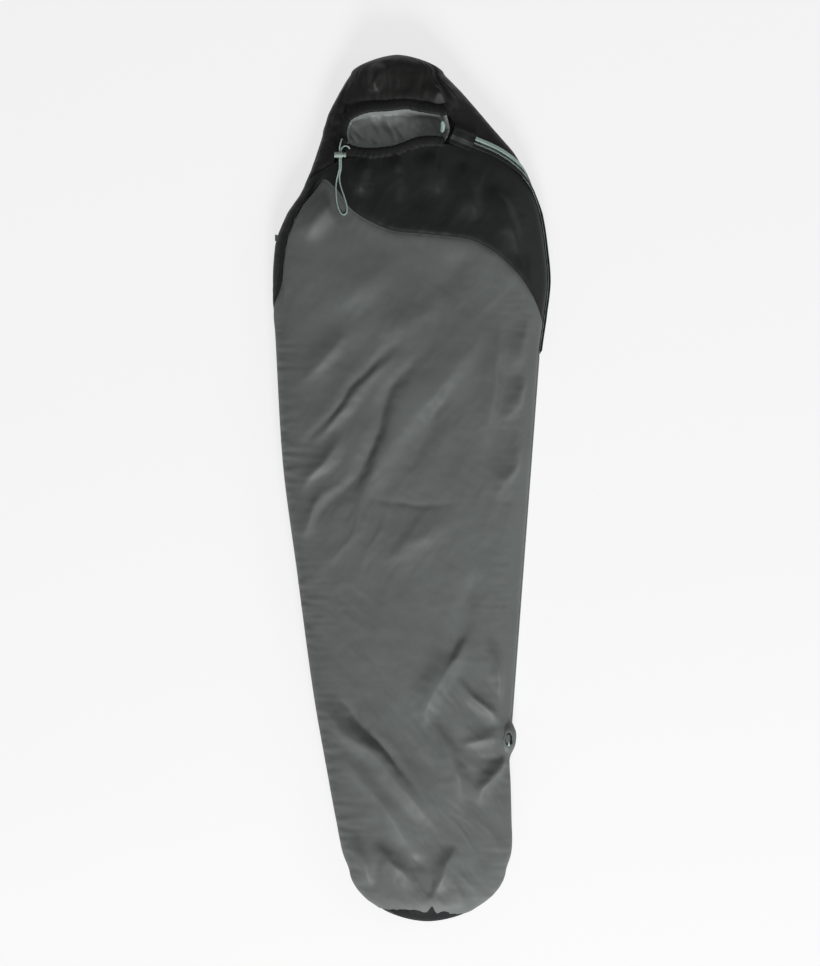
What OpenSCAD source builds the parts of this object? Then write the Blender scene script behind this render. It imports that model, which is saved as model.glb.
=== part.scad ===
// Mummy sleeping bag, laid flat and zipped shut, with a hood, a side zip and a hood drawcord.
// +X runs across the bag, +Y from the foot to the hood, +Z up. The underside rests on z = 0.

/* [Bag outline] */
// Length from the foot end to the top of the hood
bag_len = 2150; // [1750:10:2600]
// Width at the shoulders
shoulder_w = 682; // [560:2:820]
// Width across the hood at the face opening
hood_w = 438; // [430:2:530]
// Width at the foot box
foot_w = 383; // [320:1:460]

/* [Loft] */
// Height of the side seams above the ground
seam_z = 41; // [34:1:50]
// Total height over the chest
chest_z = 110; // [104:1:132]
// Total height over the foot box
foot_z = 96; // [94:1:116]
// Total height over the hood
hood_z = 99; // [96:1:118]
// Clear height inside
cavity_h = 30; // [24:1:36]
// Horizontal depth of the rounded lower edge
edge_r = 60; // [45:1:80]

/* [Layers] */
// Shell fabric
shell_t = 1.2; // [0.8:0.1:2]
// Lining fabric
lining_t = 1; // [0.6:0.1:1.6]
// Insulation along the side seams
wall_t = 26; // [20:1:34]
// Clearance between layers
fit = 0.3; // [0.2:0.05:0.5]
// Thickness of the insulation at the foot end
foot_wall = 115; // [95:1:140]
// Thickness of the insulation at the top of the hood
crown_wall = 107; // [90:1:125]
// Diameter of the draft tube behind the zip
draft_d = 24; // [16:1:28]

/* [Hems and drawcord] */
// Width of the gathered hem round the face opening
hem_w = 24; // [16:1:28]
// Height of the hem
hem_t = 12; // [9:0.5:15]
// Drawcord diameter
cord_d = 3.5; // [2.5:0.1:4.2]
// Clearance round the cord in the hem
channel_gap = 0.85; // [0.5:0.05:1.2]
// Inner radius of an eyelet
eyelet_r = 2.6; // [2.3:0.1:3]
// Eyelet wire radius
eyelet_wire = 1; // [0.7:0.1:1.3]

/* [Cord lock] */
// Outer diameter of the barrel
lock_d = 14; // [13:0.5:18]
// Wall of the barrel
lock_wall = 1.9; // [1.4:0.1:2.4]
// Press travel of the button
press = 3; // [2:0.25:4]
// Length of the spring at rest
spring_len = 6; // [4.5:0.25:8]
// Clearance of the button in the barrel
button_gap = 0.2; // [0.1:0.05:0.4]
// Spring wire diameter
spring_wire = 0.6; // [0.4:0.1:0.8]

/* [Zip] */
// Half width of the closed zip with both tapes
tape_reach = 14; // [11:0.5:17]
// Tape thickness
tape_t = 0.8; // [0.6:0.1:1.1]
// Width of one coil
coil_w = 2.1; // [1.6:0.1:2.8]
// Height of a coil
coil_h = 2.2; // [1.8:0.1:2.8]
// Slider length
slider_len = 16; // [12:1:20]
// Slider width
slider_w = 11; // [9:0.5:14]
// Thickness of the slider's plates
plate_t = 0.9; // [0.7:0.1:1.2]
// Pull pin diameter
pin_d = 1.6; // [1.2:0.1:2]
// Length of a pull
pull_len = 26; // [18:1:34]
// Width of a pull
pull_w = 7; // [5:0.5:9]
// Thickness of a pull
pull_t = 1.4; // [1:0.1:1.8]

/* [Neck tab] */
// Length of the tab along the zip
tab_len = 56; // [44:1:64]
// Thickness of the tab
tab_t = 1.2; // [0.8:0.1:1.8]
// Thickness of a hook or loop patch
patch_t = 1.1; // [0.8:0.1:1.5]

/* [Hidden] */

foot_y = -bag_len / 2;
crown_y = bag_len / 2;
function yf(d) = foot_y + d;
function yc(d) = crown_y - d;
sh = shoulder_w / 2;
hd = hood_w / 2;
ft = foot_w / 2;

// Straight stretch of the right side, which the lower zip slider runs along
side_low_y = yf(435);
side_high_y = yc(745);
side_low_x = 0.721 * sh;
side_high_x = 0.934 * sh;
function side_line(y) =
  side_low_x + (side_high_x - side_low_x) * (y - side_low_y) / (side_high_y - side_low_y);

left_edge = [
  [yf(0), -0.77 * ft], [yf(120), -0.77 * ft], [yf(225), -0.93 * ft], [yf(370), -0.604 * sh],
  [yf(565), -0.704 * sh], [yf(860), -0.821 * sh], [yf(1160), -0.933 * sh],
  [yc(745), -0.974 * sh], [yc(560), -sh], [yc(480), -0.985 * sh], [yc(400), -0.903 * sh],
  [yc(345), -0.798 * sh], [yc(290), -0.724 * sh], [yc(200), -0.995 * hd],
  [yc(150), -0.93 * hd], [yc(100), -0.81 * hd], [yc(45), -0.65 * hd], [yc(0), -0.65 * hd],
];
right_edge = [
  [yf(0), 1.227 * ft], [yf(120), 1.227 * ft], [yf(225), 1.32 * ft], [yf(335), 0.735 * sh],
  [side_low_y, side_low_x], [side_low_y + 40, side_line(side_low_y + 40)],
  [side_high_y - 30, side_line(side_high_y - 30)], [side_high_y, side_high_x],
  [yc(645), 0.974 * sh], [yc(560), sh], [yc(475), 0.979 * sh], [yc(395), 0.941 * sh],
  [yc(345), 0.897 * sh], [yc(298), 0.842 * sh], [yc(249), 1.195 * hd], [yc(200), 1.005 * hd],
  [yc(150), 0.81 * hd], [yc(100), 0.61 * hd], [yc(45), 0.365 * hd], [yc(0), 0.365 * hd],
];
top_line = [
  [yf(0), foot_z], [yf(180), foot_z], [yf(1000), (foot_z + 2 * chest_z) / 3],
  [yc(650), chest_z], [yc(400), chest_z - 2], [yc(230), hood_z], [yc(0), hood_z - 6],
];

// Monotone cubic through [position, value] pairs
function step_of(l, y, i = 0) = i >= len(l) - 2 || y < l[i + 1][0] ? i : step_of(l, y, i + 1);
function rate(l, i) = (l[i + 1][1] - l[i][1]) / (l[i + 1][0] - l[i][0]);
function bend(l, i) =
  i == 0 ? rate(l, 0)
  : i == len(l) - 1 ? rate(l, i - 1)
  : rate(l, i - 1) * rate(l, i) <= 0 ? 0
  : 2 * rate(l, i - 1) * rate(l, i) / (rate(l, i - 1) + rate(l, i));
function curve(l, y) =
  let (v = min(max(y, l[0][0]), l[len(l) - 1][0]), i = step_of(l, v))
  let (h = l[i + 1][0] - l[i][0], t = (v - l[i][0]) / h)
  (1 + 2 * t) * (1 - t) ^ 2 * l[i][1] + t * (1 - t) ^ 2 * h * bend(l, i)
  + t ^ 2 * (3 - 2 * t) * l[i + 1][1] + t ^ 2 * (t - 1) * h * bend(l, i + 1);

// Rounding of both ends, in plan and in height
foot_cap = 120;
crown_cap = 45;
foot_roll = 75;
crown_roll = 60;
function round_off(d, reach, p) = d >= reach ? 1 : (1 - ((reach - max(d, 0)) / reach) ^ p) ^ (1 / p);
function plan_cap(y) =
  round_off(y - foot_y, foot_cap, 1.75) * round_off(crown_y - y, crown_cap, 1.5);
function roll(y) = round_off(y - foot_y, foot_roll, 2) * round_off(crown_y - y, crown_roll, 2);

function mid_x(y) = (curve(left_edge, y) + curve(right_edge, y)) / 2;
function half_w(y) = max(1, (curve(right_edge, y) - curve(left_edge, y)) / 2 * plan_cap(y));
function rise(y) = max(1, (curve(top_line, y) - seam_z) * roll(y));
function drop(y) = max(1, seam_z * roll(y));

// Outer surface: angle 0 is the right seam, 90 the top, 180 the left seam,
// -90 to 0 the lower right and 180 to 270 the lower left. off moves it inwards.
dome_n = 2.4;
edge_n = 2.2;
function side_of(a) = a <= 90 ? 1 : -1;
function top_x(a, y, off) = (max(0.4, half_w(y) - off)) * abs(cos(a)) ^ (2 / dome_n);
function low_r(y) = min(edge_r, 0.9 * half_w(y));
function low_x(a, y, off) =
  half_w(y) - low_r(y) + max(0.4, low_r(y) - off) * abs(cos(a)) ^ (2 / edge_n);
function surf(a, y, off = 0) =
  let (yy = y - sign(y) * off * max(0, (abs(y) - bag_len / 2 + 100) / 100), s = abs(sin(a)))
  a >= 0 && a <= 180
    ? [mid_x(y) + side_of(a) * top_x(a, y, off), yy,
       seam_z + max(0.4, rise(y) - off) * s ^ (2 / dome_n)]
    : [mid_x(y) + side_of(a) * low_x(a, y, off), yy,
       seam_z - max(0.4, drop(y) - off) * s ^ (2 / edge_n)];
function unit(v) = v / norm(v);
function outward(a, y) = unit(cross(surf(a, y + 2) - surf(a, y - 2), surf(a + 1, y) - surf(a - 1, y)));
// Height of the outer surface at a place seen from above
function top_z(x, y) =
  let (u = min(1, abs(x - mid_x(y)) / half_w(y)))
  seam_z + rise(y) * (1 - u ^ dome_n) ^ (1 / dome_n);
function angle_of(x, y) = acos(min(1, max(-1, sign(x - mid_x(y))
  * (abs(x - mid_x(y)) / half_w(y)) ^ (dome_n / 2))));

// Seams as [angle, y]
yoke_seam = [
  [0, yc(675)], [11, yc(655)], [29, yc(598)], [45, yc(533)], [57, yc(489)], [69, yc(461)],
  [86, yc(449)], [94, yc(442)], [105, yc(417)], [114, yc(392)], [132, yc(333)], [145, yc(311)],
  [151, yc(353)], [153, yc(412)], [157, yc(575)], [166, yc(607)], [180, yc(640)],
];
neck_seam = [
  [0, yc(360)], [13, yc(327)], [41, yc(257)], [56, yc(240)], [76, yc(231)], [86, yc(233)],
  [94, yc(249)], [108, yc(259)], [133, yc(267)], [141, yc(280)], [163, yc(313)], [180, yc(340)],
];
crown_seam = [
  [0, yc(11)], [20, yc(14)], [40, yc(60)], [56, yc(122)], [64, yc(126)], [74, yc(119)], [104, yc(117)],
  [124, yc(119)], [142, yc(127)], [162, yc(75)], [180, yc(53)],
];
zip_seam = [[0, yc(303)], [9, yc(280)], [36, yc(235)], [56, yc(206)], [64, yc(160)], [74, yc(150)]];
foot_seam = yf(35);

top_cols = [0.4, 7, 14, 24, 36, 46, 56, 64, 74, 84, 94, 104, 114, 124, 133, 141, 147, 151, 153, 155,
            157, 160, 166, 173, 179.6];
back_cols = [180, 195, 210, 225, 245, 270, -90, -65, -45, -30, -15, 0];
seam_gap = fit / 2;
function pick(cols, lo, hi) = [for (c = cols) if (c >= lo && c <= hi) c];
function even(n) = [for (i = [0:n]) i / n];
// Rows that crowd towards the end
function crowd(n) = [for (i = [0:n]) 1 - (1 - i / n) ^ 2];

// Faces of a closed sheet: two grids of nc by nr points joined round their border
function grid_faces(nc, nr, base, flip) =
  [for (i = [0:nc - 2]) for (j = [0:nr - 2])
    let (p = base + i * nr + j)
    flip ? [p, p + nr, p + nr + 1, p + 1] : [p, p + 1, p + nr + 1, p + nr]];
function border(nc, nr) = concat(
  [for (i = [0:nc - 1]) i * nr], [for (j = [1:nr - 1]) (nc - 1) * nr + j],
  [for (i = [nc - 2:-1:0]) i * nr + nr - 1], [for (j = [nr - 2:-1:1]) j]);
module sheet(outer, inner, nc, nr) {
  n = nc * nr;
  edge = border(nc, nr);
  m = len(edge);
  rim = [for (k = [0:m - 1]) [edge[k], edge[k] + n, edge[(k + 1) % m] + n, edge[(k + 1) % m]]];
  polyhedron(concat(outer, inner),
    concat(grid_faces(nc, nr, 0, true), grid_faces(nc, nr, n, false), rim));
}
// A layer of the bag between two depths, over columns of angle and from seam lo to seam hi
module layer(cols, lo, hi, rows, out, into) {
  function at(a, t, off) = surf(a, lo(a) + (hi(a) - lo(a)) * t, off);
  sheet([for (a = cols) for (t = rows) at(a, t, out)],
        [for (a = cols) for (t = rows) at(a, t, into)], len(cols), len(rows));
}
// A solid whose cross sections are rings with the same number of points
module loft(rings) {
  m = len(rings[0]);
  n = len(rings);
  sides = [for (i = [0:n - 2]) for (j = [0:m - 1])
    [i * m + j, i * m + (j + 1) % m, (i + 1) * m + (j + 1) % m, (i + 1) * m + j]];
  first = [for (j = [m - 1:-1:0]) j];
  final = [for (j = [0:m - 1]) (n - 1) * m + j];
  polyhedron([for (r = rings) each r], concat([first], sides, [final]));
}
// Layer depths and heights
pad_gap = 2.1;
pad_off = shell_t + pad_gap;
fold_room = 5;
ceil_z = seam_z + cavity_h;
lining_back_z = seam_z - lining_t;
wall_low_z = seam_z + fit;
wall_high_z = ceil_z + lining_t;
roof_z = wall_high_z + fit;
cavity_low_y = foot_y + foot_wall;
cavity_high_y = crown_y - crown_wall;
wall_end_y = yc(273);
lobe_x = 0.49 * hd;
layer_gap = 2 * fit;

// Half width of the shell, off inside it, at height z
function reach(z, y, off) =
  max(0.4, half_w(y) - off) * (1 - ((z - seam_z) / (rise(y) - off)) ^ dome_n) ^ (1 / dome_n);
function inner_x(y) = min(half_w(y) - wall_t, reach(roof_z, y, pad_off) - 5);
function dome_z(dx, y, off) =
  seam_z + (rise(y) - off) * (1 - (abs(dx) / (half_w(y) - off)) ^ dome_n) ^ (1 / dome_n);

loop_low = [-90, -65, -45, -30, -15];
loop_high = [195, 210, 225, 245, 270];
loop_cols = concat(loop_low, top_cols, loop_high);
// Rows are far apart along the legs and close together round the shoulders
shoulder_y = yc(700);
function between(a, b, n) = [for (i = [1:n]) a + (b - a) * i / n];
body_low_y = cavity_low_y + layer_gap;
body_rows = concat([body_low_y], between(body_low_y, shoulder_y, 15), between(shoulder_y, wall_end_y, 14));
full_rows = concat([body_low_y], between(body_low_y, shoulder_y, 15), between(shoulder_y, yc(130), 19),
  [cavity_high_y - layer_gap]);
back_low_y = foot_seam + seam_gap;
back_ys = concat([back_low_y], [for (d = [46, 60, 76, 94, 115]) yf(d)],
  between(cavity_low_y, shoulder_y, 15), between(shoulder_y, yc(130), 19),
  [for (d = [107, 84, 62, 44, 30, 18, 9, 3, 0]) yc(d)]);
front_rows = concat([0, 0.007, 0.016, 0.026, 0.037, 0.05], between(0.05, 0.6, 8), between(0.6, 1, 16));
hood_rows = [for (t = even(6)) wall_end_y + layer_gap + t * (cavity_high_y - wall_end_y - 2 * layer_gap)];

// Padded end that fills the whole section of the bag
module plug(ys, off) {
  loft([for (y = ys) [for (a = loop_cols) surf(a, y, off)]]);
}
// Wall between the seam and the roof, on side s
module side_wall(s) {
  heights = [0, 0.2, 0.45, 0.7, 1];
  loft([for (y = body_rows)
    let (m = mid_x(y), q = inner_x(y), ring = concat(
      [[m + s * q, y, wall_low_z]],
      [for (h = heights) let (z = wall_low_z + h * (wall_high_z - wall_low_z))
        [m + s * reach(z, y, pad_off), y, z]],
      [[m + s * q, y, wall_high_z]]))
    s > 0 ? ring : [for (k = [len(ring) - 1:-1:0]) ring[k]]]);
}
// Side of the hood outside the plane x = m + s * q(y)
module lobe(s, q) {
  loft([for (y = hood_rows)
    let (m = mid_x(y), far = acos((q(y) / (half_w(y) - pad_off)) ^ (dome_n / 2)), ring = concat(
      [[m + s * q(y), y, wall_low_z]],
      [for (t = even(6)) let (a = 0.4 + t * (far - 0.4), p = surf(a, y, pad_off))
        [m + s * (p[0] - m), y, p[2]]]))
    s > 0 ? ring : [for (k = [len(ring) - 1:-1:0]) ring[k]]]);
}

// ---- shell ----
module back_panel() color([0.13, 0.14, 0.135])
  layer(back_cols, function (a) back_low_y, function (a) crown_y,
        [for (y = back_ys) (y - back_low_y) / (crown_y - back_low_y)], 0, shell_t);
module front_panel() color([0.36, 0.37, 0.365])
  layer(top_cols, function (a) foot_seam + seam_gap,
        function (a) curve(yoke_seam, a) - seam_gap, front_rows, 0, shell_t);
module chest_yoke() color([0.14, 0.145, 0.14])
  layer(top_cols, function (a) curve(yoke_seam, a) + seam_gap,
        function (a) curve(neck_seam, a) - seam_gap, even(9), 0, shell_t);
module hood_side_left() color([0.13, 0.135, 0.13])
  layer(concat([144], pick(top_cols, 147, 180)), function (a) curve(neck_seam, a) + seam_gap,
        function (a) curve(crown_seam, a) - seam_gap, even(8), 0, shell_t);
module hood_side_right() color([0.13, 0.135, 0.13])
  layer(pick(top_cols, 0, 56), function (a) curve(zip_seam, a) + seam_gap,
        function (a) curve(crown_seam, a) - seam_gap, [for (t = even(9)) 1 - (1 - t) ^ 1.5], 0, shell_t);
module hood_crown() color([0.125, 0.13, 0.125])
  layer(top_cols, function (a) curve(crown_seam, a) + seam_gap, function (a) crown_y,
        crowd(7), 0, shell_t);
module foot_panel() color([0.13, 0.135, 0.13]) {
  ys = [for (t = [0, 0.2, 0.45, 0.7, 0.88, 1]) foot_seam - seam_gap + t * (foot_y - foot_seam + seam_gap)];
  outer = [for (y = ys) [for (a = loop_cols) surf(a, y)]];
  inner = [for (k = [len(ys) - 1:-1:0]) [for (a = loop_cols) surf(a, ys[k], shell_t)]];
  tube_of(concat(outer, inner), len(ys) - 1);
}
// Closed cup: rings out and back, with the end discs at ring k and k + 1
module tube_of(rings, k) {
  m = len(rings[0]);
  n = len(rings);
  walls = [for (i = [0:n - 1]) if (i != k) for (j = [0:m - 1])
    [i * m + j, (i + 1) % n * m + j, (i + 1) % n * m + (j + 1) % m, i * m + (j + 1) % m]];
  ends = [[for (j = [m - 1:-1:0]) k * m + j], [for (j = [0:m - 1]) (k + 1) * m + j]];
  polyhedron([for (r = rings) each r], concat(walls, ends));
}

// ---- insulation ----
module insulation_back() color([0.85, 0.85, 0.82])
  loft([for (y = full_rows)
    let (x = half_w(y) - pad_off - 5, m = mid_x(y))
    concat([for (a = [190, 205, 222, 243, 270, -90, -63, -42, -25, -10])
        let (p = surf(a, y, pad_off)) [p[0], y, p[2]]],
      [[m + x, y, lining_back_z - fit], [m - x, y, lining_back_z - fit]])]);
module insulation_front() color([0.85, 0.85, 0.82]) {
  us = [-1, -0.93, -0.8, -0.6, -0.4, -0.2, 0, 0.18, 0.34, 0.46, 0.65, 0.82, 0.93, 1];
  ts = [for (y = body_rows) (y - body_low_y) / (wall_end_y - body_low_y)];
  angle_at = function (u) u >= 0 ? acos(u ^ (dome_n / 2)) : 180 - acos((-u) ^ (dome_n / 2));
  top_end = function (u) u < -0.7 || u > 0.3 ? wall_end_y : curve(neck_seam, angle_at(u)) - layer_gap;
  row_y = function (u, t) cavity_low_y + layer_gap + t * (top_end(u) - cavity_low_y - layer_gap);
  dx_of = function (u, y) u * reach(roof_z + fold_room + 1.5, y, pad_off);
  sheet(
    [for (u = [for (k = [len(us) - 1:-1:0]) us[k]]) for (t = ts) let (y = row_y(u, t), dx = dx_of(u, y))
      [mid_x(y) + dx, y, dome_z(dx, y, pad_off) - fold_room]],
    [for (u = [for (k = [len(us) - 1:-1:0]) us[k]]) for (t = ts) let (y = row_y(u, t), dx = dx_of(u, y))
      [mid_x(y) + dx, y, roof_z]],
    len(us), len(ts));
}
module insulation_side_left() color([0.85, 0.85, 0.82]) side_wall(-1);
module insulation_side_right() color([0.85, 0.85, 0.82]) side_wall(1);
module insulation_foot() color([0.85, 0.85, 0.82])
  plug([for (d = [1, 5, 12, 24, 40, 60, 88, foot_wall]) yf(d)], pad_off);
module insulation_crown() color([0.85, 0.85, 0.82])
  plug([for (d = [crown_wall, 80, 60, 44, 30, 18, 9, 3, 0.5]) yc(d)], pad_off + 0.8);
module insulation_hood_left() color([0.85, 0.85, 0.82]) lobe(-1, function (y) inner_x(y));
module insulation_hood_right() color([0.85, 0.85, 0.82]) lobe(1, function (y) lobe_x - mid_x(y));

// ---- lining ----
module lining_back() color([0.4, 0.42, 0.41])
  loft([for (y = full_rows)
    let (x = half_w(y) - pad_off - 5, m = mid_x(y))
    [[m - x, y, lining_back_z], [m + x, y, lining_back_z], [m + x, y, seam_z], [m - x, y, seam_z]]]);
module lining_front() color([0.4, 0.42, 0.41])
  loft([for (y = [for (v = body_rows) v + (v < wall_end_y - 1 ? lining_t + fit : 0)])
    let (m = mid_x(y), q = inner_x(y) - fit, r = q - lining_t)
    [[m + q, y, wall_low_z], [m + q, y, wall_high_z], [m - q, y, wall_high_z], [m - q, y, wall_low_z],
     [m - r, y, wall_low_z], [m - r, y, ceil_z], [m + r, y, ceil_z], [m + r, y, wall_low_z]]]);
module lining_foot() color([0.4, 0.42, 0.41])
  loft([for (y = [cavity_low_y + fit, cavity_low_y + fit + lining_t])
    let (m = mid_x(y), q = inner_x(y) - fit)
    [[m - q, y, wall_low_z], [m + q, y, wall_low_z], [m + q, y, wall_high_z], [m - q, y, wall_high_z]]]);
module lining_hood() color([0.4, 0.42, 0.41]) {
  low = wall_end_y + layer_gap;
  high = cavity_high_y - layer_gap;
  left_ys = hood_rows;
  wall = function (y, d) [mid_x(y) - inner_x(y) + fit + d, min(y, high - d)];
  outer = concat([for (y = left_ys) wall(y, 0)], [[lobe_x - fit, high], [lobe_x - fit, low]]);
  inner = concat([[lobe_x - fit - lining_t, low], [lobe_x - fit - lining_t, high - lining_t]],
    [for (k = [6:-1:0]) wall(left_ys[k], lining_t)]);
  translate([0, 0, wall_low_z]) linear_extrude(wall_high_z - wall_low_z) polygon(concat(outer, inner));
}
module draft_tube() color([0.4, 0.42, 0.41]) {
  loft([for (v = body_rows) if (v > side_low_y && v < yc(320))
    let (y = v + lining_t + fit,
         x = mid_x(y) + inner_x(y) - lining_t - layer_gap - draft_d / 2, z = seam_z + cavity_h / 2)
    [for (k = [0:9]) [x + draft_d / 2 * cos(36 * k), y, z + draft_d / 2 * sin(36 * k)]]]);
}

// ---- paths on the surface ----
// Frame [place, along, outward, across] of a path through places p with outward normals n
function frames(p, n) = [for (i = [0:len(p) - 1])
  let (along = unit(p[min(i + 1, len(p) - 1)] - p[max(i - 1, 0)]),
       out = unit(n[i] - (n[i] * along) * along))
  [p[i], along, out, cross(along, out)]];
module sweep(fs, profile) {
  loft([for (f = fs) [for (q = profile) f[0] + f[3] * q[0] + f[2] * q[1]]]);
}
function spread(l, n) = [for (i = [0:(len(l) - 1) * n])
  let (k = min(floor(i / n), len(l) - 2), t = i / n - k,
       a = l[max(k - 1, 0)], b = l[k], c = l[k + 1], d = l[min(k + 2, len(l) - 1)])
  0.5 * (2 * b + (c - a) * t + (2 * a - 5 * b + 4 * c - d) * t ^ 2 + (3 * b - a - 3 * c + d) * t ^ 3)];
module placed(f) {
  multmatrix([[f[3][0], f[1][0], f[2][0], f[0][0]], [f[3][1], f[1][1], f[2][1], f[0][1]],
              [f[3][2], f[1][2], f[2][2], f[0][2]], [0, 0, 0, 1]]) children();
}

// ---- hems round the face opening ----
hem_sink = 2.5;
channel_r = cord_d / 2 + channel_gap;
hem_line = [
  [90, yc(153)], [76, yc(144)], [25, yc(135)], [-10, yc(129)], [-52, yc(133)], [-104, yc(137)],
  [-143, yc(151)], [-163, yc(175)], [-167, yc(205)], [-160, yc(228)], [-140, yc(241)],
  [-110, yc(246)], [-79, yc(246)], [-45, yc(242)], [-20, yc(235)], [20, yc(220)], [60, yc(217)],
  [86, yc(220)],
];
hem_split = 27;
hem_places = [for (q = spread(hem_line, 3)) [q[0], q[1], top_z(q[0], q[1]) - hem_sink]];
hem_frames = frames(hem_places, [for (q = hem_places) outward(angle_of(q[0], q[1]), q[1])]);
hem_profile = let (slit = 0.35) concat(
  [[hem_w / 2, slit]],
  [for (k = [1:11]) [hem_w / 2 * cos(30 * k), hem_t / 2 * sin(30 * k)]],
  [[hem_w / 2, -slit]],
  [for (k = [0:8]) [channel_r * cos(-20 - 40 * k), channel_r * sin(-20 - 40 * k)]]);
module hood_hem() color([0.12, 0.125, 0.12])
  sweep([for (i = [0:hem_split]) hem_frames[i]], hem_profile);
module neck_hem() color([0.12, 0.125, 0.12])
  sweep([for (i = [hem_split:len(hem_frames) - 1])
    i == hem_split ? [hem_frames[i][0] + fit * hem_frames[i][1], hem_frames[i][1], hem_frames[i][2],
                      hem_frames[i][3]] : hem_frames[i]], hem_profile);
module hem_cord() color([0.52, 0.61, 0.58])
  sweep([for (i = [0:len(hem_frames) - 1]) hem_frames[i]],
    [for (k = [0:7]) cord_d / 2 * [cos(45 * k), sin(45 * k)]]);

// ---- zip ----
zip_angle = [[side_low_y, -22], [yc(480), -22], [yc(410), -16], [yc(350), -4], [yc(303), 10],
             [yc(249), 35], [yc(211), 58]];
zip_low_y = side_low_y + 40;
zip_top_y = yc(211);
zip_turn_y = yc(236);
zip_lift = 0.3;
top_lift = 1.6;
function on_zip(y, lift) = surf(curve(zip_angle, y), y) + lift * outward(curve(zip_angle, y), y);
low_ys = concat([side_low_y, zip_low_y],
  [for (t = [0.2, 0.4, 0.6, 0.8, 1]) zip_low_y + t * (side_high_y - 30 - zip_low_y)],
  [for (d = [645, 580, 530, 490, 460, 430, 400, 375, 352, 330, 310, 292, 274, 256]) yc(d)],
  [zip_turn_y, zip_top_y]);
zip_places = [for (y = low_ys) on_zip(y, y < yc(300) ? zip_lift : top_lift)];
zip_out = [for (y = low_ys) outward(curve(zip_angle, min(y, (zip_turn_y + zip_top_y) / 2)),
  min(y, (zip_turn_y + zip_top_y) / 2))];
zip_frames_raw = frames(zip_places, zip_out);
last = len(low_ys) - 1;
zip_frames = [for (i = [0:last]) i < last - 1 ? zip_frames_raw[i]
  : [zip_frames_raw[i][0], zip_frames_raw[last][1], zip_frames_raw[last][2], zip_frames_raw[last][3]]];
function along_top(t) =
  [zip_frames[last][0] - t * zip_frames[last][1], zip_frames[last][1], zip_frames[last][2],
   zip_frames[last][3]];
low_frame = zip_frames[2];
slider_low_y = zip_low_y + 6 + slider_len / 2;
low_slider = [on_zip(slider_low_y, zip_lift), low_frame[1], low_frame[2], low_frame[3]];
top_slider = along_top(4 + slider_len / 2);

plate_low = 0.3;
coil_n = plate_low + plate_t + 0.3;
tape_n = coil_n + (coil_h - tape_t) / 2;
top_plate_n = coil_n + coil_h + 0.3;
post_w = 1;
coil_in = post_w / 2 + 0.4;
coil_out = coil_in + coil_w;
tape_in = coil_out + 0.1;
tape_flat = slider_w / 2 + 1;
tape_edge = -0.8;
module tape(s) {
  points = [[tape_in, tape_n], [tape_flat, tape_n], [tape_reach, tape_edge], [tape_reach, tape_edge + tape_t],
            [tape_flat, tape_n + tape_t], [tape_in, tape_n + tape_t]];
  flipped = [for (k = [len(points) - 1:-1:0]) [-points[k][0], points[k][1]]];
  sweep(zip_frames, s > 0 ? points : flipped);
}
module coil(s) {
  lo = s > 0 ? coil_in : -coil_out;
  hi = s > 0 ? coil_out : -coil_in;
  fs = concat([for (i = [1:last - 1]) zip_frames[i]], [along_top(4)]);
  sweep(fs, [[lo, coil_n], [hi, coil_n], [hi, coil_n + coil_h], [lo, coil_n + coil_h]]);
}
module zip_tape_front() color([0.6, 0.67, 0.65]) tape(-1);
module zip_tape_back() color([0.6, 0.67, 0.65]) tape(1);
module zip_coil_front() color([0.5, 0.56, 0.54]) coil(-1);
module zip_coil_back() color([0.5, 0.56, 0.54]) coil(1);
module stop_block() {
  translate([-coil_out, 0.3, coil_n]) cube([2 * coil_out, 3, coil_h]);
}
module zip_top_stop() color([0.3, 0.32, 0.31]) placed(along_top(4)) stop_block();
module zip_bottom_stop() color([0.3, 0.32, 0.31])
  placed([zip_frames[1][0], low_frame[1], low_frame[2], low_frame[3]])
  translate([0, -3.6, 0]) stop_block();

eye_r = pin_d / 2 + 0.9;
pin_n = top_plate_n + plate_t + eye_r + 0.3;
ear_t = 1.2;
ear_gap = pull_w / 2 - 1;
module slider(f, way) placed(f) {
  for (n = [plate_low, top_plate_n])
    translate([-slider_w / 2, -slider_len / 2, n]) cube([slider_w, slider_len, plate_t]);
  translate([-post_w / 2, way > 0 ? slider_len / 2 - 4 : -slider_len / 2, plate_low + plate_t / 2])
    cube([post_w, 4, top_plate_n - plate_low]);
  for (s = [-1, 1]) translate([s * (ear_gap + ear_t / 2) - ear_t / 2, -1.6, top_plate_n + plate_t / 2])
    cube([ear_t, 3.2, pin_n - top_plate_n - plate_t / 2 + 1.2]);
  translate([-ear_gap - ear_t, 0, pin_n]) rotate([0, 90, 0])
    cylinder(d = pin_d, h = 2 * (ear_gap + ear_t), $fn = 32);
}
pin_gap = 0.1;
module pull(f, way, reach_len) placed(f) translate([0, 0, pin_n]) {
  eye_w = 2 * ear_gap - 0.6;
  difference() {
    union() {
      rotate([0, 90, 0]) cylinder(r = eye_r, h = eye_w, center = true, $fn = 32);
      translate([-eye_w / 2, way > 0 ? 0 : -5, -pull_t / 2]) cube([eye_w, 5, pull_t]);
      translate([-pull_w / 2, way > 0 ? 3.5 : -reach_len, -pull_t / 2])
        cube([pull_w, reach_len - 3.5, pull_t]);
    }
    rotate([0, 90, 0]) cylinder(d = pin_d + 2 * pin_gap, h = pull_w, center = true, $fn = 32);
  }
}
upper_pull_len = 20;
module zip_slider_upper() color([0.3, 0.32, 0.31]) slider(top_slider, 1);
module zip_pull_upper() color([0.6, 0.67, 0.65]) pull(top_slider, 1, upper_pull_len);
module zip_slider_lower() color([0.3, 0.32, 0.31]) slider(low_slider, -1);
module zip_pull_lower() color([0.6, 0.67, 0.65]) pull(low_slider, -1, pull_len);

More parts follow.
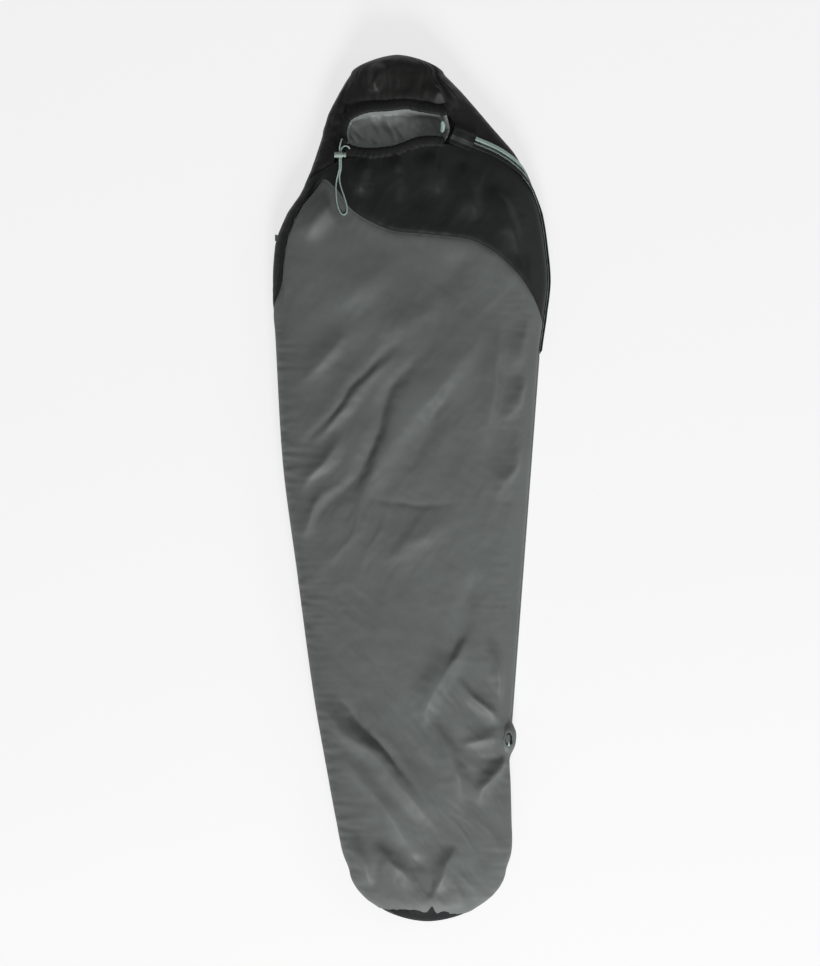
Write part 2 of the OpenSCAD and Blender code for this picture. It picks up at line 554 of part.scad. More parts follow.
// ---- neck tab ----
tab_low = -28;
tab_foot = -16;
tab_hinge = 17;
tab_rise = pin_n + pull_t / 2 + 4.4;
tab_seat = -0.9;
tab_base = 0.6 + patch_t;
module tab_slice(points) {
  translate([0, -32, 0]) rotate([90, 0, 0]) mirror([0, 0, 1]) linear_extrude(tab_len) polygon(points);
}
tab_top = along_top(0);
module neck_tab() color([0.11, 0.115, 0.11]) placed(tab_top)
  tab_slice([
    [tab_low, tab_base], [tab_foot, tab_base], [-9, tab_rise], [8, tab_rise],
    [tab_hinge, tab_seat], [tab_hinge + 3, tab_seat], [tab_hinge + 3, tab_seat + tab_t],
    [tab_hinge + 0.6, tab_seat + tab_t],
    [8.5, tab_rise + tab_t], [-9.5, tab_rise + tab_t],
    [tab_foot - 0.6, tab_base + tab_t], [tab_low, tab_base + tab_t],
  ]);
patch_w = 11;
module tab_hook_patch() color([0.08, 0.085, 0.08]) placed(tab_top)
  translate([tab_low + 0.5, -26, tab_base - patch_t]) cube([patch_w, 44, patch_t]);
module tab_loop_patch() color([0.1, 0.105, 0.1]) placed(tab_top)
  translate([tab_low + 0.5, -26, tab_seat]) cube([patch_w, 44, tab_base - patch_t - fit - tab_seat]);

// ---- cord lock ----
lock_at = [-172, yc(253), 99];
cord_side = cord_d / 2 + 0.15;
bore_r = lock_d / 2 - lock_wall;
button_r = bore_r - button_gap;
window = 2 * cord_side + 0.25;
window_h = cord_d + 0.9;
plunger_low = -window - 2.2;
bore_low = plunger_low - spring_len - 0.2;
barrel_low = bore_low - lock_wall;
barrel_high = window + 2.5;
module barrel_x(x0, x1, d) {
  translate([x0, 0, 0]) rotate([0, 90, 0]) cylinder(d = d, h = x1 - x0, $fn = 48);
}
module cord_lock_body() color([0.55, 0.62, 0.6]) translate(lock_at) difference() {
  barrel_x(barrel_low, barrel_high, lock_d);
  barrel_x(bore_low, barrel_high + 1, 2 * bore_r);
  translate([-window - 0.5, -lock_d, -window_h / 2]) cube([2 * window + 0.5, 2 * lock_d, window_h]);
}
module cord_lock_button() color([0.6, 0.67, 0.65]) translate(lock_at) {
  head = barrel_high + press + 0.3;
  difference() {
    barrel_x(plunger_low, head + 0.5, 2 * button_r);
    translate([-window, -lock_d, -window_h / 2]) cube([2 * window + press, 2 * lock_d, window_h]);
  }
  barrel_x(head, head + 3, lock_d - 1.4);
  translate([head + 3, 0, 0]) rotate([0, 90, 0])
    cylinder(d1 = lock_d - 1.4, d2 = lock_d - 5.4, h = 1.6, $fn = 48);
}
module cord_lock_spring() color([0.75, 0.75, 0.76]) {
  turns = 4;
  steps = 12;
  r = button_r - 1.3;
  base = lock_at + [bore_low + 0.1 + spring_wire / 2, 0, 0];
  run = spring_len - spring_wire - 0.1;
  coil_points = [for (i = [0:turns * steps])
    let (a = 360 * i / steps) base + [run * i / (turns * steps), r * cos(a), r * sin(a)]];
  sweep(frames(coil_points, [for (i = [0:turns * steps])
      let (a = 360 * i / steps) [0, cos(a), sin(a)]]),
    [for (k = [0:4]) spring_wire / 2 * [cos(72 * k), sin(72 * k)]]);
}

// ---- eyelets, drawcord and side loop ----
eyelet_at = [25, 29];
module cord_eyelets() color([0.2, 0.21, 0.2]) for (i = eyelet_at)
  placed(hem_frames[i]) translate([0, 0, hem_t / 2 + eyelet_wire + 0.1])
    rotate_extrude($fn = 40) translate([eyelet_r + eyelet_wire, 0]) circle(r = eyelet_wire, $fn = 16);

drawcord_points = [
  [-167.6, 861.8, 88], [-168.5, 861, 92.5], [-170, 856, 96.5], [-172, 849, 98.7], [-173.5, 841, 99],
  [-173.9, 834, 99], [-173.9, 812, 99], [-173.9, 790, 99], [-176, 780, 97], [-178.8, 770, 94.2],
  [-181, 760, 92.3], [-182.5, 748, 93.3], [-182.5, 736, 94.8], [-182, 724, 96.4], [-181, 712, 98],
  [-179, 700, 99.7], [-175.5, 688, 101.3], [-170, 678, 102.8], [-163, 674, 103.8], [-157, 678, 104.2],
  [-155, 688, 103.8], [-156.5, 700, 102.6], [-160, 712, 101.1], [-164, 724, 99.3], [-168, 736, 97.3],
  [-171.5, 748, 95.5], [-173.8, 760, 94.2], [-174, 770, 95.2], [-172, 780, 97.4], [-170.1, 790, 99],
  [-170.1, 812, 99], [-170.1, 832, 99], [-168.5, 838, 99.6], [-164, 842.5, 101], [-158, 844, 101.5],
  [-152.5, 842, 100], [-149.7, 839, 97], [-149.2, 837.8, 93.3],
];
hood_shift = crown_y - 1075;
// Outward direction of a ring, carried along the route so that the tube doesn't twist
function carried(p, i = 0, n = [0, 1, 0.1]) = i >= len(p) ? []
  : let (along = unit(p[min(i + 1, len(p) - 1)] - p[max(i - 1, 0)]), m = unit(n - (n * along) * along))
    concat([m], carried(p, i + 1, m));
module drawcord_loop() color([0.6, 0.67, 0.65]) translate([0, hood_shift, 0])
  sweep(frames(drawcord_points, carried(drawcord_points)),
    [for (k = [0:7]) cord_d / 2 * [cos(45 * k), sin(45 * k)]]);

module side_loop() color([0.6, 0.67, 0.65]) {
  y = yc(455);
  f = [surf(195, y), [0, 1, 0], outward(195, y), cross([0, 1, 0], outward(195, y))];
  placed(f) translate([-5, -8, 1.65]) difference() {
    cube([10, 16, 4]);
    translate([-1, 1.2, 0.9]) cube([12, 13.6, 2]);
  }
}

back_panel();
front_panel();
chest_yoke();
foot_panel();
hood_crown();
hood_side_left();
hood_side_right();
insulation_back();
insulation_front();
insulation_side_left();
insulation_side_right();
insulation_foot();
insulation_crown();
insulation_hood_left();
insulation_hood_right();
lining_back();
lining_front();
lining_foot();
lining_hood();
draft_tube();
hood_hem();
neck_hem();
hem_cord();
drawcord_loop();
cord_eyelets();
cord_lock_body();
cord_lock_button();
cord_lock_spring();
zip_tape_front();
zip_tape_back();
zip_coil_front();
zip_coil_back();
zip_top_stop();
zip_bottom_stop();
zip_slider_upper();
zip_pull_upper();
zip_slider_lower();
zip_pull_lower();
neck_tab();
tab_hook_patch();
tab_loop_patch();
side_loop();
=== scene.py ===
import math

import bpy
import numpy as np
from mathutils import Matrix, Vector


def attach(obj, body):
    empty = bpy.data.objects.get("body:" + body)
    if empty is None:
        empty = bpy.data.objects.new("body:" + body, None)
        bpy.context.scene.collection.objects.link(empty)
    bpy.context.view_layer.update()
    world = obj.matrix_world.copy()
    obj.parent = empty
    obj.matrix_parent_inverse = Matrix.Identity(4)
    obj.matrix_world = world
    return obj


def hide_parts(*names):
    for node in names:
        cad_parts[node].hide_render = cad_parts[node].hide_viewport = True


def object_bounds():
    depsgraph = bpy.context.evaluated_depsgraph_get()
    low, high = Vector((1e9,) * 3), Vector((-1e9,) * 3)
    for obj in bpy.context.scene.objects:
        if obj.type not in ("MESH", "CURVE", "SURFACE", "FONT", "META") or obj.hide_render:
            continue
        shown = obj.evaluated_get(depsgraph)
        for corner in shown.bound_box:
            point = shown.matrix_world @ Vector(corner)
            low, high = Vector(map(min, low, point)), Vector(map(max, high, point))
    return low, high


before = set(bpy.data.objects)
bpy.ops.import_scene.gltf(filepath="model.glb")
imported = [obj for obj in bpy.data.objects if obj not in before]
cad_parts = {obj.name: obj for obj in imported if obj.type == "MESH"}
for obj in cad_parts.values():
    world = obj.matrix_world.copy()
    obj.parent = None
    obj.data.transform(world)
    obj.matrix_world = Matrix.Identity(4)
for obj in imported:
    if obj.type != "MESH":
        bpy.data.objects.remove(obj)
cadLow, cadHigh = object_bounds()
bagBody = "bag"

# The room: camera, lights and floor
room = {
    "pictureHigh": 2.390,      # metres of the bag's plane that the picture's height takes in
    "lookAt": (0.0, 0.0124, 0.07),
    "lens": 150.0,
    "sensor": 36.0,
    "floorSize": 40.0,
    "floorGrey": 0.20,
    "floorGlow": 0.74,         # evens out the floor's own shadows
    "floorZ": -0.0005,
    "worldGlow": 0.22,
    "lights": [                # name, place, size, watts
        ("keyLight", (0.8, -7.4, 5.0), 3.4, 820),
        ("fillLight", (-5.0, 4.0, 8.0), 5.0, 12),
        ("sideLight", (7.0, 1.0, 4.6), 4.0, 90),
    ],
}


def makeRoom():
    cameraData = bpy.data.cameras.new("camera")
    cameraData.lens = room["lens"]
    cameraData.sensor_width = room["sensor"]
    cameraData.clip_end = 60
    camera = bpy.data.objects.new("camera", cameraData)
    bpy.context.scene.collection.objects.link(camera)
    x, y, z = room["lookAt"]
    camera.location = (x, y, z + room["pictureHigh"] * room["lens"] / room["sensor"])
    bpy.context.scene.camera = camera

    aim = bpy.data.objects.new("aim", None)
    bpy.context.scene.collection.objects.link(aim)
    for name, place, size, watts in room["lights"]:
        data = bpy.data.lights.new(name, "AREA")
        data.shape = "DISK"
        data.size = size
        data.energy = watts
        lamp = bpy.data.objects.new(name, data)
        lamp.location = place
        bpy.context.scene.collection.objects.link(lamp)
        track = lamp.constraints.new("TRACK_TO")
        track.target = aim
        track.track_axis, track.up_axis = "TRACK_NEGATIVE_Z", "UP_Y"

    world = bpy.data.worlds.new("studio")
    world.use_nodes = True
    sky = world.node_tree.nodes["Background"]
    sky.inputs["Color"].default_value = (1, 1, 1, 1)
    sky.inputs["Strength"].default_value = room["worldGlow"]
    bpy.context.scene.world = world
    bpy.context.scene.view_settings.view_transform = "Standard"

    half, z = room["floorSize"] / 2, room["floorZ"]
    mesh = bpy.data.meshes.new("floor")
    mesh.from_pydata([(-half, -half, z), (half, -half, z), (half, half, z), (-half, half, z)], [], [(0, 1, 2, 3)])
    floor = bpy.data.objects.new("floor", mesh)
    bpy.context.scene.collection.objects.link(floor)
    material = bpy.data.materials.new("paper")
    material.use_nodes = True
    shader = material.node_tree.nodes["Principled BSDF"]
    grey = room["floorGrey"]
    for label, value in (("Base Color", (grey, grey, grey, 1)), ("Roughness", 0.9),
                         ("Emission Color", (1, 1, 1, 1)), ("Emission Strength", room["floorGlow"])):
        shader.inputs[label].default_value = value
    mesh.materials.append(material)


makeRoom()
print("room ready")


# Materials
def wire(tree, kind, settings=None, inputs=None):
    node = tree.nodes.new(kind)
    for key, value in (settings or {}).items():
        setattr(node, key, value)
    for key, value in (inputs or {}).items():
        socket = node.inputs[key]
        if isinstance(value, bpy.types.NodeSocket):
            tree.links.new(value, socket)
        else:
            socket.default_value = value
    return node


def makeGroup(name, inputs, outputs):
    tree = bpy.data.node_groups.new(name, "ShaderNodeTree")
    for label, kind, value in inputs:
        socket = tree.interface.new_socket(label, in_out="INPUT", socket_type=kind)
        if value is not None:
            socket.default_value = value
    for label, kind in outputs:
        tree.interface.new_socket(label, in_out="OUTPUT", socket_type=kind)
    return tree, tree.nodes.new("NodeGroupInput"), tree.nodes.new("NodeGroupOutput")


def buildWeave():
    # Plain weave: warp and weft threads that pass over and under each other
    tree, given, result = makeGroup(
        "weave",
        [("Vector", "NodeSocketVector", None), ("Threads", "NodeSocketFloat", 1400.0)],
        [("Height", "NodeSocketFloat")])
    parts = wire(tree, "ShaderNodeSeparateXYZ", inputs={"Vector": given.outputs["Vector"]})
    waves = []
    for axis in ("X", "Y"):
        scaled = wire(tree, "ShaderNodeMath", {"operation": "MULTIPLY"},
                      {0: parts.outputs[axis], 1: given.outputs["Threads"]})
        waves.append(wire(tree, "ShaderNodeMath", {"operation": "SINE"}, {0: scaled.outputs[0]}))
    both = wire(tree, "ShaderNodeMath", {"operation": "MULTIPLY"},
                {0: waves[0].outputs[0], 1: waves[1].outputs[0]})
    tree.links.new(both.outputs[0], result.inputs["Height"])
    return tree


def buildTone():
    # Slow changes of shade with a fine fleck, as dyed cloth has
    tree, given, result = makeGroup(
        "dyeTone",
        [("Vector", "NodeSocketVector", None), ("Cloud", "NodeSocketFloat", 6.0),
         ("Fleck", "NodeSocketFloat", 900.0), ("Spread", "NodeSocketFloat", 0.5)],
        [("Shade", "NodeSocketFloat")])
    cloud = wire(tree, "ShaderNodeTexNoise", inputs={
        "Vector": given.outputs["Vector"], "Scale": given.outputs["Cloud"], "Detail": 4.0, "Roughness": 0.6})
    fleck = wire(tree, "ShaderNodeTexNoise", inputs={
        "Vector": given.outputs["Vector"], "Scale": given.outputs["Fleck"], "Detail": 1.0})
    mixed = wire(tree, "ShaderNodeMix", {"data_type": "FLOAT"},
                 {0: 0.35, 2: cloud.outputs["Fac"], 3: fleck.outputs["Fac"]})
    ranged = wire(tree, "ShaderNodeMapRange", inputs={
        "Value": mixed.outputs[0], "From Min": 0.35, "From Max": 0.65, "To Min": 0.0,
        "To Max": given.outputs["Spread"]})
    tree.links.new(ranged.outputs[0], result.inputs["Shade"])
    return tree


def buildCrease():
    # Small creases of thin woven cloth, stretched one way
    tree, given, result = makeGroup(
        "finger creases",
        [("Vector", "NodeSocketVector", None), ("Scale", "NodeSocketFloat", 30.0),
         ("Turn", "NodeSocketVector", (0.0, 0.0, 0.6))],
        [("Height", "NodeSocketFloat")])
    turned = wire(tree, "ShaderNodeVectorRotate", {"rotation_type": "EULER_XYZ"},
                  {"Vector": given.outputs["Vector"], "Rotation": given.outputs["Turn"]})
    stretched = wire(tree, "ShaderNodeVectorMath", {"operation": "MULTIPLY"},
                     {0: turned.outputs[0], 1: (0.42, 1.0, 1.0)})
    ridges = wire(tree, "ShaderNodeTexNoise", {"noise_type": "RIDGED_MULTIFRACTAL", "normalize": True}, {
        "Vector": stretched.outputs[0], "Scale": given.outputs["Scale"], "Detail": 3.0,
        "Roughness": 0.45, "Distortion": 0.4})
    tree.links.new(ridges.outputs["Fac"], result.inputs["Height"])
    return tree


weaveGroup, toneGroup, creaseGroup = buildWeave(), buildTone(), buildCrease()


def useGroup(tree, group, inputs):
    return wire(tree, "ShaderNodeGroup", {"node_tree": group}, inputs)


def newMaterial(name):
    material = bpy.data.materials.new(name)
    material.use_nodes = True
    tree = material.node_tree
    return material, tree, tree.nodes["Principled BSDF"], wire(tree, "ShaderNodeTexCoord").outputs["Object"]


def mixColours(tree, shader, share, dark, light):
    colour = wire(tree, "ShaderNodeMix", {"data_type": "RGBA"}, {0: share, 6: (*dark, 1), 7: (*light, 1)})
    tree.links.new(colour.outputs[2], shader.inputs["Base Color"])


def setFinish(shader, **values):
    for label, value in values.items():
        shader.inputs[label].default_value = value


def clothMaterial(name, dark, light, roughness=0.6, specular=0.14, sheen=0.03, threads=1400.0, crease=30.0,
                  creaseDepth=0.0022, weaveDepth=0.00012, turn=0.6, spread=1.0, cloud=6.0):
    material, tree, shader, place = newMaterial(name)
    tone = useGroup(tree, toneGroup, {"Vector": place, "Cloud": cloud, "Fleck": 900.0, "Spread": spread})
    mixColours(tree, shader, tone.outputs[0], dark, light)
    weave = useGroup(tree, weaveGroup, {"Vector": place, "Threads": threads})
    fine = wire(tree, "ShaderNodeBump", inputs={"Height": weave.outputs[0], "Distance": weaveDepth,
                                                "Strength": 0.5})
    creases = useGroup(tree, creaseGroup, {"Vector": place, "Scale": crease, "Turn": (0.0, 0.0, turn)})
    bump = wire(tree, "ShaderNodeBump", inputs={"Height": creases.outputs[0], "Distance": creaseDepth,
                                                "Strength": 0.6, "Normal": fine.outputs[0]})
    tree.links.new(bump.outputs[0], shader.inputs["Normal"])
    setFinish(shader, **{"Roughness": roughness, "Specular IOR Level": specular, "Sheen Weight": sheen,
                         "Sheen Roughness": 0.5})
    return material


def hardMaterial(name, dark, light, roughness, metallic=0.0, grain=400.0):
    material, tree, shader, place = newMaterial(name)
    tone = useGroup(tree, toneGroup, {"Vector": place, "Cloud": grain / 4, "Fleck": grain * 4, "Spread": 1.0})
    mixColours(tree, shader, tone.outputs[0], dark, light)
    rough = wire(tree, "ShaderNodeMapRange", inputs={
        "Value": tone.outputs[0], "To Min": roughness - 0.06, "To Max": roughness + 0.08})
    tree.links.new(rough.outputs[0], shader.inputs["Roughness"])
    grained = wire(tree, "ShaderNodeTexNoise", inputs={"Vector": place, "Scale": grain * 3, "Detail": 2.0})
    bump = wire(tree, "ShaderNodeBump", inputs={"Height": grained.outputs["Fac"], "Distance": 0.00008,
                                                "Strength": 0.5})
    tree.links.new(bump.outputs[0], shader.inputs["Normal"])
    setFinish(shader, Metallic=metallic)
    return material


def cordMaterial(name, dark, light):
    # Braid that follows the cord's own map: u runs along it in metres and v round it
    material = bpy.data.materials.new(name)
    material.use_nodes = True
    tree = material.node_tree
    shader = tree.nodes["Principled BSDF"]
    parts = wire(tree, "ShaderNodeSeparateXYZ", inputs={"Vector": wire(tree, "ShaderNodeUVMap").outputs[0]})
    waves = []
    for way in (-1, 1):
        along = wire(tree, "ShaderNodeMath", {"operation": "MULTIPLY"}, {0: parts.outputs["X"], 1: 2400.0})
        around = wire(tree, "ShaderNodeMath", {"operation": "MULTIPLY_ADD"},
                      {0: parts.outputs["Y"], 1: way * 8 * math.pi, 2: along.outputs[0]})
        waves.append(wire(tree, "ShaderNodeMath", {"operation": "SINE"}, {0: around.outputs[0]}))
    braid = wire(tree, "ShaderNodeMath", {"operation": "MULTIPLY"},
                 {0: waves[0].outputs[0], 1: waves[1].outputs[0]})
    # The braid's grooves are painted darker and its crests lighter, in step with its bump: painted shade and painted
    # highlight on one cord colour.
    braidPaintedShade = wire(tree, "ShaderNodeMapRange", inputs={"Value": braid.outputs[0], "From Min": -1.0})
    mixColours(tree, shader, braidPaintedShade.outputs[0], dark, light)
    bump = wire(tree, "ShaderNodeBump", inputs={"Height": braid.outputs[0], "Distance": 0.0002})
    tree.links.new(bump.outputs[0], shader.inputs["Normal"])
    setFinish(shader, **{"Roughness": 0.7, "Sheen Weight": 0.2})
    return material


finish = {
    "blackHood": clothMaterial("blackHood", (0.0082, 0.0088, 0.0080), (0.0160, 0.0168, 0.0154),
                               roughness=0.5, specular=0.22, creaseDepth=0.0010),
    "blackYoke": clothMaterial("blackYoke", (0.0088, 0.0100, 0.0096), (0.0170, 0.0186, 0.0180),
                               roughness=0.5, specular=0.22, creaseDepth=0.0010),
    "blackBack": clothMaterial("blackBack", (0.0095, 0.0102, 0.0098), (0.0180, 0.0190, 0.0185)),
    # The foot panel's black is painted darker than the back's, as painted shade, because the key light falls on the
    # foot end.
    "blackFootPaintedShade": clothMaterial("blackFootPaintedShade", (0.0045, 0.0062, 0.0062), (0.0090, 0.0118, 0.0118)),
    "greyShell": clothMaterial("greyShell", (0.099, 0.107, 0.104), (0.124, 0.137, 0.133),
                               roughness=0.56, specular=0.34, creaseDepth=0.0010),
    "lining": clothMaterial("lining", (0.190, 0.208, 0.200), (0.265, 0.288, 0.278), crease=26.0,
                            roughness=0.42, specular=0.5),
    "wadding": clothMaterial("wadding", (0.55, 0.55, 0.52), (0.75, 0.75, 0.72), crease=14.0),
    "hem": clothMaterial("hem", (0.0085, 0.0095, 0.0090), (0.0170, 0.0180, 0.0170), crease=70.0,
                         creaseDepth=0.0012),
    "tape": clothMaterial("tape", (0.34, 0.45, 0.41), (0.47, 0.60, 0.55), threads=2600.0, crease=90.0,
                          creaseDepth=0.0004, weaveDepth=0.00025),
    "thread": clothMaterial("thread", (0.020, 0.021, 0.020), (0.035, 0.037, 0.035), creaseDepth=0.0002),
    "patch": clothMaterial("patch", (0.008, 0.009, 0.008), (0.020, 0.021, 0.020), roughness=0.95,
                           threads=3600.0, weaveDepth=0.0005, creaseDepth=0.0003),
    "cord": cordMaterial("cord", (0.25, 0.33, 0.30), (0.42, 0.54, 0.49)),
    "coil": hardMaterial("coil", (0.060, 0.086, 0.076), (0.110, 0.145, 0.130), 0.45),
    "lockPlastic": hardMaterial("lockPlastic", (0.22, 0.28, 0.25), (0.30, 0.38, 0.34), 0.42),
    "steel": hardMaterial("steel", (0.45, 0.45, 0.46), (0.6, 0.6, 0.62), 0.3, metallic=1.0),
    "sliderPaint": hardMaterial("sliderPaint", (0.045, 0.05, 0.048), (0.07, 0.075, 0.072), 0.38),
}
print("materials ready")

# The bag's shape, section by section
footY, crownY = cadLow.y, cadHigh.y
shape = {
    "shoulder": 0.341, "hood": 0.219, "foot": 0.1915,                       # half widths
    "seamZ": 0.041, "chestZ": 0.110, "footZ": 0.096, "hoodZ": 0.099,        # heights
    "lowEdge": 0.060,
    "footCap": 0.120, "crownCap": 0.045, "footRoll": 0.075, "crownRoll": 0.060,
    "domeN": 2.4, "edgeN": 2.2,
}


def fromFoot(d):
    return footY + d


def fromCrown(d):
    return crownY - d


sideLowY, sideHighY = fromFoot(0.435), fromCrown(0.745)
sh, hd, ft = shape["shoulder"], shape["hood"], shape["foot"]
sideLowX, sideHighX = 0.721 * sh, 0.934 * sh


def sideLine(y):
    return sideLowX + (sideHighX - sideLowX) * (y - sideLowY) / (sideHighY - sideLowY)


leftEdge = [
    (fromFoot(0), -0.77 * ft), (fromFoot(0.120), -0.77 * ft), (fromFoot(0.225), -0.93 * ft),
    (fromFoot(0.370), -0.604 * sh), (fromFoot(0.565), -0.704 * sh), (fromFoot(0.860), -0.821 * sh),
    (fromFoot(1.160), -0.933 * sh), (fromCrown(0.745), -0.974 * sh), (fromCrown(0.560), -sh),
    (fromCrown(0.480), -0.985 * sh), (fromCrown(0.400), -0.903 * sh), (fromCrown(0.345), -0.798 * sh),
    (fromCrown(0.290), -0.724 * sh), (fromCrown(0.200), -0.995 * hd), (fromCrown(0.150), -0.93 * hd),
    (fromCrown(0.100), -0.81 * hd), (fromCrown(0.045), -0.65 * hd), (fromCrown(0), -0.65 * hd),
]
rightEdge = [
    (fromFoot(0), 1.227 * ft), (fromFoot(0.120), 1.227 * ft), (fromFoot(0.225), 1.32 * ft),
    (fromFoot(0.335), 0.735 * sh), (sideLowY, sideLowX), (sideLowY + 0.04, sideLine(sideLowY + 0.04)),
    (sideHighY - 0.03, sideLine(sideHighY - 0.03)), (sideHighY, sideHighX), (fromCrown(0.645), 0.974 * sh),
    (fromCrown(0.560), sh), (fromCrown(0.475), 0.979 * sh), (fromCrown(0.395), 0.941 * sh),
    (fromCrown(0.345), 0.897 * sh), (fromCrown(0.298), 0.842 * sh), (fromCrown(0.249), 1.195 * hd),
    (fromCrown(0.200), 1.005 * hd), (fromCrown(0.150), 0.81 * hd), (fromCrown(0.100), 0.61 * hd),
    (fromCrown(0.045), 0.365 * hd), (fromCrown(0), 0.365 * hd),
]
topLine = [
    (fromFoot(0), shape["footZ"]), (fromFoot(0.180), shape["footZ"]),
    (fromFoot(1.0), (shape["footZ"] + 2 * shape["chestZ"]) / 3), (fromCrown(0.650), shape["chestZ"]),
    (fromCrown(0.400), shape["chestZ"] - 0.002), (fromCrown(0.230), shape["hoodZ"]),
    (fromCrown(0), shape["hoodZ"] - 0.006),
]


def curve(points, at):
    # Monotone cubic through (position, value) pairs.
    xs, vs = np.array(points, float).T
    at = np.clip(at, xs[0], xs[-1])
    h = np.diff(xs)
    rate = np.diff(vs) / h
    bend = np.zeros(len(xs))
    bend[0], bend[-1] = rate[0], rate[-1]
    product, total = rate[:-1] * rate[1:], rate[:-1] + rate[1:]
    bend[1:-1] = np.where(product > 0, 2 * product / np.where(total == 0, 1, total), 0)
    i = np.clip(np.searchsorted(xs, at, side="right") - 1, 0, len(xs) - 2)
    t = (at - xs[i]) / h[i]
    return ((1 + 2 * t) * (1 - t) ** 2 * vs[i] + t * (1 - t) ** 2 * h[i] * bend[i]
            + t ** 2 * (3 - 2 * t) * vs[i + 1] + t ** 2 * (t - 1) * h[i] * bend[i + 1])


def roundOff(d, reach, p):
    inner = np.clip((reach - np.maximum(d, 0)) / reach, 0, 1)
    return (1 - inner ** p) ** (1 / p)


def midX(y):
    return (curve(leftEdge, y) + curve(rightEdge, y)) / 2


def halfWidth(y):
    cap = roundOff(y - footY, shape["footCap"], 1.75) * roundOff(crownY - y, shape["crownCap"], 1.5)
    return np.maximum(0.001, (curve(rightEdge, y) - curve(leftEdge, y)) / 2 * cap)


def roll(y):
    return roundOff(y - footY, shape["footRoll"], 2) * roundOff(crownY - y, shape["crownRoll"], 2)


def rise(y):
    return np.maximum(0.001, (curve(topLine, y) - shape["seamZ"]) * roll(y))


def surfacePoint(angle, y, off=0.0):
    # Outer surface: angle 0 is the right seam, 90 the top, 180 the left seam, below that the underside.
    angle, y = np.broadcast_arrays(np.asarray(angle, float), np.asarray(y, float))
    a = np.radians(angle)
    s, c = np.abs(np.sin(a)), np.abs(np.cos(a))
    side = np.where(angle <= 90, 1.0, -1.0)
    w, up = halfWidth(y), rise(y)
    down = np.maximum(0.001, shape["seamZ"] * roll(y))
    lowR = np.minimum(shape["lowEdge"], 0.9 * w)
    topX = np.maximum(0.0004, w - off) * c ** (2 / shape["domeN"])
    lowX = w - lowR + np.maximum(0.0004, lowR - off) * c ** (2 / shape["edgeN"])
    upper = (angle >= 0) & (angle <= 180)
    x = midX(y) + side * np.where(upper, topX, lowX)
    z = shape["seamZ"] + np.where(upper, np.maximum(0.0004, up - off) * s ** (2 / shape["domeN"]),
                                  -np.maximum(0.0004, down - off) * s ** (2 / shape["edgeN"]))
    return np.stack([x, y, z], -1)


def unit(v):
    return v / np.maximum(1e-12, np.linalg.norm(v, axis=-1, keepdims=True))


def outwardAt(angle, y):
    e = 0.002
    return unit(np.cross(surfacePoint(angle, y + e) - surfacePoint(angle, y - e),
                         surfacePoint(np.asarray(angle) + 1, y) - surfacePoint(np.asarray(angle) - 1, y)))


def topZ(x, y):
    u = np.minimum(1, np.abs(x - midX(y)) / halfWidth(y))
    return shape["seamZ"] + rise(y) * (1 - u ** shape["domeN"]) ** (1 / shape["domeN"])


def angleOf(x, y):
    u = (x - midX(y)) / halfWidth(y)
    return np.degrees(np.arccos(np.clip(np.sign(u) * np.abs(u) ** (shape["domeN"] / 2), -1, 1)))


# Smooth noise with fixed seeds
def lattice(x, y, seed):
    xi, yi = np.floor(x).astype(int), np.floor(y).astype(int)
    fx, fy = x - xi, y - yi
    table = np.random.RandomState(seed).uniform(0, 2 * math.pi, (64, 64))
    total = 0
    sx, sy = fx ** 3 * (6 * fx ** 2 - 15 * fx + 10), fy ** 3 * (6 * fy ** 2 - 15 * fy + 10)
    for dx in (0, 1):
        for dy in (0, 1):
            turn = table[(xi + dx) % 64, (yi + dy) % 64]
            push = np.cos(turn) * (fx - dx) + np.sin(turn) * (fy - dy)
            total = total + push * np.where(dx, sx, 1 - sx) * np.where(dy, sy, 1 - sy)
    return total * 1.6


def layered(x, y, seed, layers=3):
    return sum(lattice(x * 2 ** k, y * 2 ** k, seed + k) / 2 ** k for k in range(layers))


def ridged(x, y, seed):
    # Sharp crests with soft valleys, about -0.5 to 0.5.
    return 0.5 - np.abs(layered(x, y, seed, 2)) * 1.4


def smooth(a, b, v):
    t = np.clip((v - a) / (b - a), 0, 1)
    return t * t * (3 - 2 * t)


def splinePath(points, n):
    # Catmull-Rom through the points, n steps to each stretch.
    p = np.array(points, float)
    p = np.concatenate([p[:1], p, p[-1:]])
    out = []
    for i in range(1, len(p) - 2):
        a, b, c, d = p[i - 1], p[i], p[i + 1], p[i + 2]
        for t in np.arange(n) / n:
            out.append(0.5 * (2 * b + (c - a) * t + (2 * a - 5 * b + 4 * c - d) * t ** 2
                              + (3 * b - a - 3 * c + d) * t ** 3))
    out.append(p[-2])
    return np.array(out)


def evenPath(points, step):
    # The same path with its points a fixed step apart.
    p = np.array(points, float)
    s = np.concatenate([[0], np.cumsum(np.linalg.norm(np.diff(p, axis=0), axis=1))])
    n = max(2, int(round(s[-1] / step)) + 1)
    at = np.linspace(0, s[-1], n)
    return np.stack([np.interp(at, s, p[:, k]) for k in range(p.shape[1])], -1)


def nearest(x, y, path):
    # Distance from each place to a path in plan, how far along the path it is, and on which side.
    best = np.full(x.shape, 9.0)
    along, side = np.zeros(x.shape), np.zeros(x.shape)
    start = 0.0
    for (ax, ay), (bx, by) in zip(path[:-1, :2], path[1:, :2]):
        ux, uy = bx - ax, by - ay
        span = math.hypot(ux, uy) or 1e-9
        t = np.clip(((x - ax) * ux + (y - ay) * uy) / span ** 2, 0, 1)
        d = np.hypot(x - ax - t * ux, y - ay - t * uy)
        closer = d < best
        best = np.where(closer, d, best)
        along = np.where(closer, start + t * span, along)
        side = np.where(closer, np.sign(ux * (y - ay) - uy * (x - ax)), side)
        start += span
    return best, along, side, start


